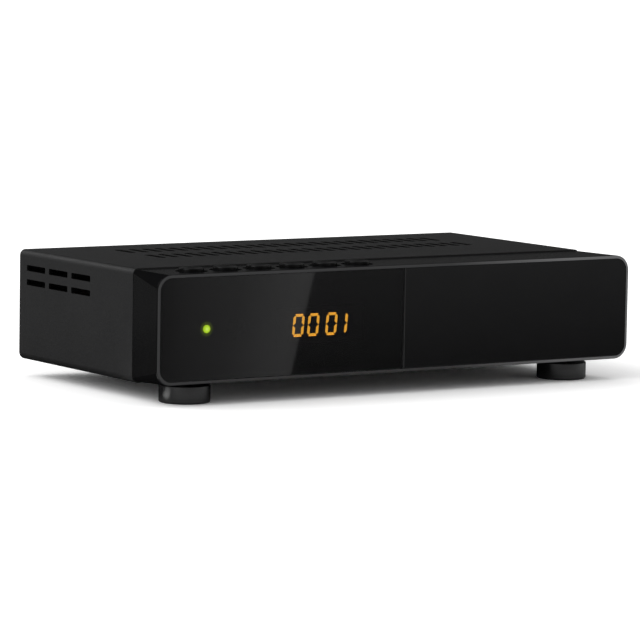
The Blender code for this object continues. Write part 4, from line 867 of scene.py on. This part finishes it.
def addBar(name, low, high, cuts, along):  # a flat bar with some corners cut off; cuts name (side, up, size)
    middle = (Vector(low) + Vector(high)) / 2
    bar = addBlock(name, (low[0], along - digitLook["thickness"], low[1]), (high[0], along, high[1]))
    openPiece(bar)
    for side, up, size in cuts:
        pick(bar, "EDGE", lambda edge: runsAlong(edge, "Y")
             and (edgeMiddle(edge).x - middle.x) * side > 0
             and (edgeMiddle(edge).z - middle.y) * up > 0)
        bpy.ops.mesh.bevel(offset=size, segments=1)
    return closePiece(bar)


def makeDigits():
    look = digitLook
    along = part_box("digit_display")[0].y - look["lift"]
    material = glow("amberGlow", look["colour"], look["strength"])
    half, bar, gap = look["width"] / 2, look["bar"], look["gap"]
    tall = look["height"] / 2
    bars = []
    for up in (-1, 1):
        ends = sorted((up * tall, up * (tall - bar)))
        inner = half - look["crossEndShare"] * bar
        inside, outside = look["crossInShare"] * bar, look["crossOutShare"] * bar
        cuts = [(-1, -up, inside), (1, -up, inside), (-1, up, outside), (1, up, outside)]
        bars.append(addBar("crossBar", (-inner, ends[0]), (inner, ends[1]), cuts, along))
        for side in (-1, 1):
            sides = sorted((side * half, side * (half - bar)))
            ends = sorted((up * gap, up * (tall - look["sideEndShare"] * bar)))
            cuts = [(-side, -up, look["sideMiddleShare"] * bar), (-side, up, look["sideInShare"] * bar),
                    (side, up, look["sideOutShare"] * bar)]
            bars.append(addBar("sideBar", (sides[0], ends[0]), (sides[1], ends[1]), cuts, along))
    slant = Matrix.Identity(4)
    slant[0][2] = look["slant"]
    for number, centre in enumerate(look["centres"]):
        place = Matrix.Translation((centre, 0, look["low"] + tall))
        shown = bars if number < 3 else [bar for bar in bars if min(v.co.x for v in bar.data.vertices) > 0]
        copies = [copyPiece(bar, "litBar") for bar in shown]
        digit = joinPieces(copies, f"digit{number + 1}")
        digit.data.transform(place @ slant)
        finishPiece(digit, material)
    for bar in bars:
        bpy.data.objects.remove(bar)


lampLook = {"core": 0.0012, "strength": 9.5,
            "shades": ((0.0, (0.75, 1.0, 0.20)), (0.45, (0.62, 0.95, 0.05)), (1.0, (0.38, 0.6, 0.0))),
            "halo": 0.0036, "haloStrength": 5, "haloThickness": 0.00003,
            "haloShades": ((0.0, (0.16, 0.24, 0.0)), (0.5, (0.05, 0.07, 0.0)), (1.0, (0, 0, 0))),
            "unlit": (0.004, 0.005, 0.002), "lift": 0.0001, "rise": 0.0003, "dome": 0.0005, "round": 0.0002,
            "sides": 40}


def radialGlow(name, middle, radius, shades, strength):  # light that changes with the distance from the lamp
    dull = {"colour": lampLook["unlit"], "roughness": patternLook["glowRoughness"]}
    material, tree, shader, place = startMaterial(name, dull)
    apart = tree.nodes.new("ShaderNodeMapping")
    apart.inputs["Location"].default_value = (-middle.x / radius, 0, -middle.z / radius)
    apart.inputs["Scale"].default_value = (1 / radius, 0, 1 / radius)
    tree.links.new(place, apart.inputs["Vector"])
    away = tree.nodes.new("ShaderNodeVectorMath")
    away.operation = "LENGTH"
    tree.links.new(apart.outputs["Vector"], away.inputs[0])
    ramp = tree.nodes.new("ShaderNodeValToRGB")
    stops = ramp.color_ramp.elements
    stops[1].position, stops[1].color = 1, (*shades[-1][1], 1)
    stops[0].position, stops[0].color = 0, (*shades[0][1], 1)
    for spot, shade in shades[1:-1]:
        stops.new(spot).color = (*shade, 1)
    tree.links.new(away.outputs["Value"], ramp.inputs["Fac"])
    tree.links.new(ramp.outputs["Color"], shader.inputs["Emission Color"])
    shader.inputs["Emission Strength"].default_value = strength
    return material


def makeLampGlow():
    look = lampLook
    low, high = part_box("status_lamp")
    middle = (low + high) / 2
    face, core = Vector((middle.x, low.y - look["lift"], middle.z)), look["core"]
    profile = roundCorners([(0, 0), (core, 0), (core, look["rise"]), (0, look["dome"])], look["round"])
    tip = turnPiece("lampTip", profile, face, "-Y", look["sides"])
    glowing = radialGlow("lampGlow", middle, core, look["shades"], look["strength"])
    finishPiece(tip, glowing)
    # a thin disc round the lamp glows: a painted halo of the lamp's light
    wide, thick = look["halo"], look["haloThickness"]
    ring = [(core, 0), (wide, 0), (wide, thick), (core, thick), (core, 0)]
    halo = turnPiece("lampHalo", ring, face, "-Y", look["sides"])
    glowing = radialGlow("haloGlow", middle, wide, look["haloShades"], look["haloStrength"])
    finishPiece(halo, glowing)


makeDigits()
makeLampGlow()
print("display ready")


# Feet

footLook = {"edge": 0.0003, "step": 0.00025, "pegRadius": 0.002, "dish": 0.0005, "dishRadius": 0.005,
            "sides": 64, "pegLength": 0.0026, "roundSteps": 3}


def makeFeet():
    look = footLook
    for node in ("foot_front_left", "foot_front_right", "foot_rear_left", "foot_rear_right"):
        low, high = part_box(node)
        middle = (low + high) / 2
        radius = (high.x - low.x) / 2
        seat = high.z - low.z - look["pegLength"]
        profile = [(0, look["dish"]), (look["dishRadius"], look["dish"]), (look["dishRadius"], 0),
                   (radius - look["edge"], 0), (radius, look["edge"]), (radius, seat),
                   (look["pegRadius"], seat), (look["pegRadius"], high.z), (0, high.z)]
        profile = roundCorners(profile, look["step"], look["roundSteps"])
        name = node.replace("foot", "standing")
        foot = turnPiece(name, profile, (middle.x, middle.y, 0), "Z", look["sides"])
        finishPiece(foot, finishes["footPlastic"], (node,))


makeFeet()
print("feet ready")


# Socket details on the rear

socketLook = {"tongueSetBack": 0.0046, "stripDepth": 0.0042, "stripThickness": 0.00006,
              "hdmiTongue": 0.0010, "hdmiCount": 10, "hdmiPitch": 0.0010, "hdmiStrip": 0.00042,
              "usbTongue": 0.0019, "usbCount": 4, "usbPitch": 0.0023, "usbStrip": 0.0011,
              "scartCount": 10, "scartPitch": 0.0036, "scartSlot": (0.0011, 0.0024), "scartRows": 0.0019,
              "scartBlade": (0.0005, 0.0018), "faceLift": 0.00004}


def repeatBlock(name, low, high, step, count):  # one block and its copies side by side along X
    first = addBlock(name, low, high)
    copies = [first] + [copyPiece(first, name, (number * step, 0, 0)) for number in range(1, count)]
    return joinPieces(copies, name)


def makeTongueStrips(node, key):
    look = socketLook
    low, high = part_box(node)
    middle = (low + high) / 2
    end = high.y - look["tongueSetBack"] - look["faceLift"]
    count, pitch, wide = look[key + "Count"], look[key + "Pitch"], look[key + "Strip"]
    first = middle.x - (count - 1) * pitch / 2 - wide / 2
    rows = []
    for side in (-1, 1):
        level = middle.z + side * look[key + "Tongue"] / 2
        ends = sorted((level, level + side * look["stripThickness"]))
        rows.append(repeatBlock(f"{key}Contacts", (first, end - look["stripDepth"], ends[0]),
                                (first + wide, end, ends[1]), pitch, count))
    strips = joinPieces(rows, f"{key}Contacts")
    finishPiece(strips, finishes["contactMetal"])


def makeScartContacts():
    look = socketLook
    low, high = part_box("scart_socket")
    middle = (low + high) / 2
    face = high.y - look["tongueSetBack"]
    for name, size, lift, finish, slot in (
        # the slots are dark blocks on the socket face: painted shade of the holes
        ("scartSlots", look["scartSlot"], look["faceLift"], "paintedShade", "socket_plastic"),
        ("scartBlades", look["scartBlade"], 2 * look["faceLift"], "contactMetal", "socket_metal"),
    ):
        rows = []
        for side in (-1, 1):
            first = middle.x - (look["scartCount"] - 1) * look["scartPitch"] / 2 - size[0] / 2
            level = middle.z + side * look["scartRows"] - size[1] / 2
            rows.append(repeatBlock(name, (first, face - look["faceLift"], level),
                                    (first + size[0], face + lift, level + size[1]), look["scartPitch"],
                                    look["scartCount"]))
        finishPiece(joinPieces(rows, name), finishes[finish])


aerialLook = {"radius": 0.00475, "threads": 11, "depth": 0.00035, "plain": 0.0058, "tip": 0.0004,
              "mouth": 0.0038, "recess": 0.0008, "pinHole": 0.0007, "pinRing": 0.00105, "sides": 56,
              "lift": 0.00001, "ringGap": 0.00002, "ringSides": 32}


def makeAerialSocket():
    look = aerialLook
    low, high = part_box("lnb_socket")
    middle, length = (low + high) / 2, high.y - low.y
    start = Vector((middle.x, low.y, middle.z))
    profile = [(0, 0), (look["radius"], 0), (look["radius"], look["plain"])]
    pitch = (length - look["tip"] - look["plain"]) / look["threads"]
    for number in range(look["threads"]):
        along = look["plain"] + number * pitch
        profile += [(look["radius"] - look["depth"], along + pitch / 2), (look["radius"], along + pitch)]
    profile += [(look["radius"] - look["tip"], length), (look["mouth"], length),
                (look["mouth"], length - look["recess"]), (0, length - look["recess"])]
    barrel = turnPiece("aerialBarrel", profile, start, "Y", look["sides"])
    finishPiece(barrel, finishes["socketMetal"], ("lnb_socket",))
    seat, face = length - look["recess"] + look["lift"], length - look["recess"] / 2
    for name, inner, outer, sides, finish, slot in (
        ("aerialInsulator", "pinRing", "mouth", "sides", "whitePlastic", "socket_plastic"),
        ("aerialContact", "pinHole", "pinRing", "ringSides", "contactMetal", "socket_metal"),
    ):
        inner, outer, sides = look[inner], look[outer] - look["ringGap"], look[sides]
        profile = [(inner, seat), (outer, seat), (outer, face), (inner, face), (inner, seat)]
        finishPiece(turnPiece(name, profile, start, "Y", sides), finishes[finish])


sleeveLook = {"barrel": 0.00415, "thickness": 0.00006, "start": 0.0012, "end": 0.0013,
              "contactEndShare": 0.25, "pinHole": 0.0016, "rise": 0.0070, "powerPin": 0.0010, "powerRise": 0.0062,
              "powerDepth": 0.009, "powerSetBack": 0.0006, "sides": 48}


def makeSleeves():  # bright shell of the audio socket, its inner contact and the pin of the power inlet
    look = sleeveLook
    low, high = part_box("audio_socket")
    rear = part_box("rear_panel")[1].y
    seat, thick = Vector(((low.x + high.x) / 2, 0, low.z + look["rise"])), look["thickness"]
    power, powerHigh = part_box("power_inlet")
    inlet = Vector(((power.x + powerHigh.x) / 2, 0, power.z + look["powerRise"]))
    tubes = (("audioShell", seat, look["barrel"], rear + look["start"], high.y - look["end"]),
             ("audioContact", seat, look["pinHole"] - thick, rear,
              high.y - look["end"] * look["contactEndShare"]),
             ("powerPin", inlet, look["powerPin"], powerHigh.y - look["powerDepth"],
              powerHigh.y - look["powerSetBack"]))
    for name, middle, radius, start, end in tubes:
        outer = radius + thick
        profile = [(radius, start), (outer, start), (outer, end), (radius, end), (radius, start)]
        tube = turnPiece(name, profile, middle, "Y", look["sides"])
        finishPiece(tube, finishes["socketMetal"])


makeTongueStrips("hdmi_socket", "hdmi")
makeTongueStrips("usb_socket", "usb")
makeScartContacts()
makeAerialSocket()
makeSleeves()
print("rear sockets ready")


# Every node that stays gets its finish

nodeFinishes = {
    "galvanisedSheet": ["base_tray", "tuner_can"],
    "paintedSheet": ["rear_panel"],
    "boardGreen": ["main_board", "front_board", "key_board"],
    "displayFace": ["digit_display"],
    "lensPlastic": ["ir_receiver", "status_lamp"],
    "socketMetal": ["lnb_nut", "hdmi_socket", "usb_socket", "crystal"],
    "socketPlastic": ["scart_socket", "power_inlet"],
    "audioPlastic": ["audio_socket"],
    "chipPlastic": ["main_processor", "memory_chip", "power_coil"]
    + [f"key_switch_{n}" for n in buttonNumbers],
    "sinkMetal": ["heat_sink"],
    "linkPlastic": ["board_connector"],
    "sleevePlastic": [f"capacitor_{n}" for n in range(1, 4)],
    "ribbonPlastic": ["front_cable"],
    "screwSteel": [f"{row}_{n}" for row, count in (("board_screw", 4), ("front_board_screw", 2),
                                                    ("fascia_screw", 2), ("rear_screw", 4))
                   for n in range(1, count + 1)],
}
for finish, names in nodeFinishes.items():
    for name in names:
        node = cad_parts[name]
        node.data.materials.clear()
        node.data.materials.append(finishes[finish])
print("nodes finished")
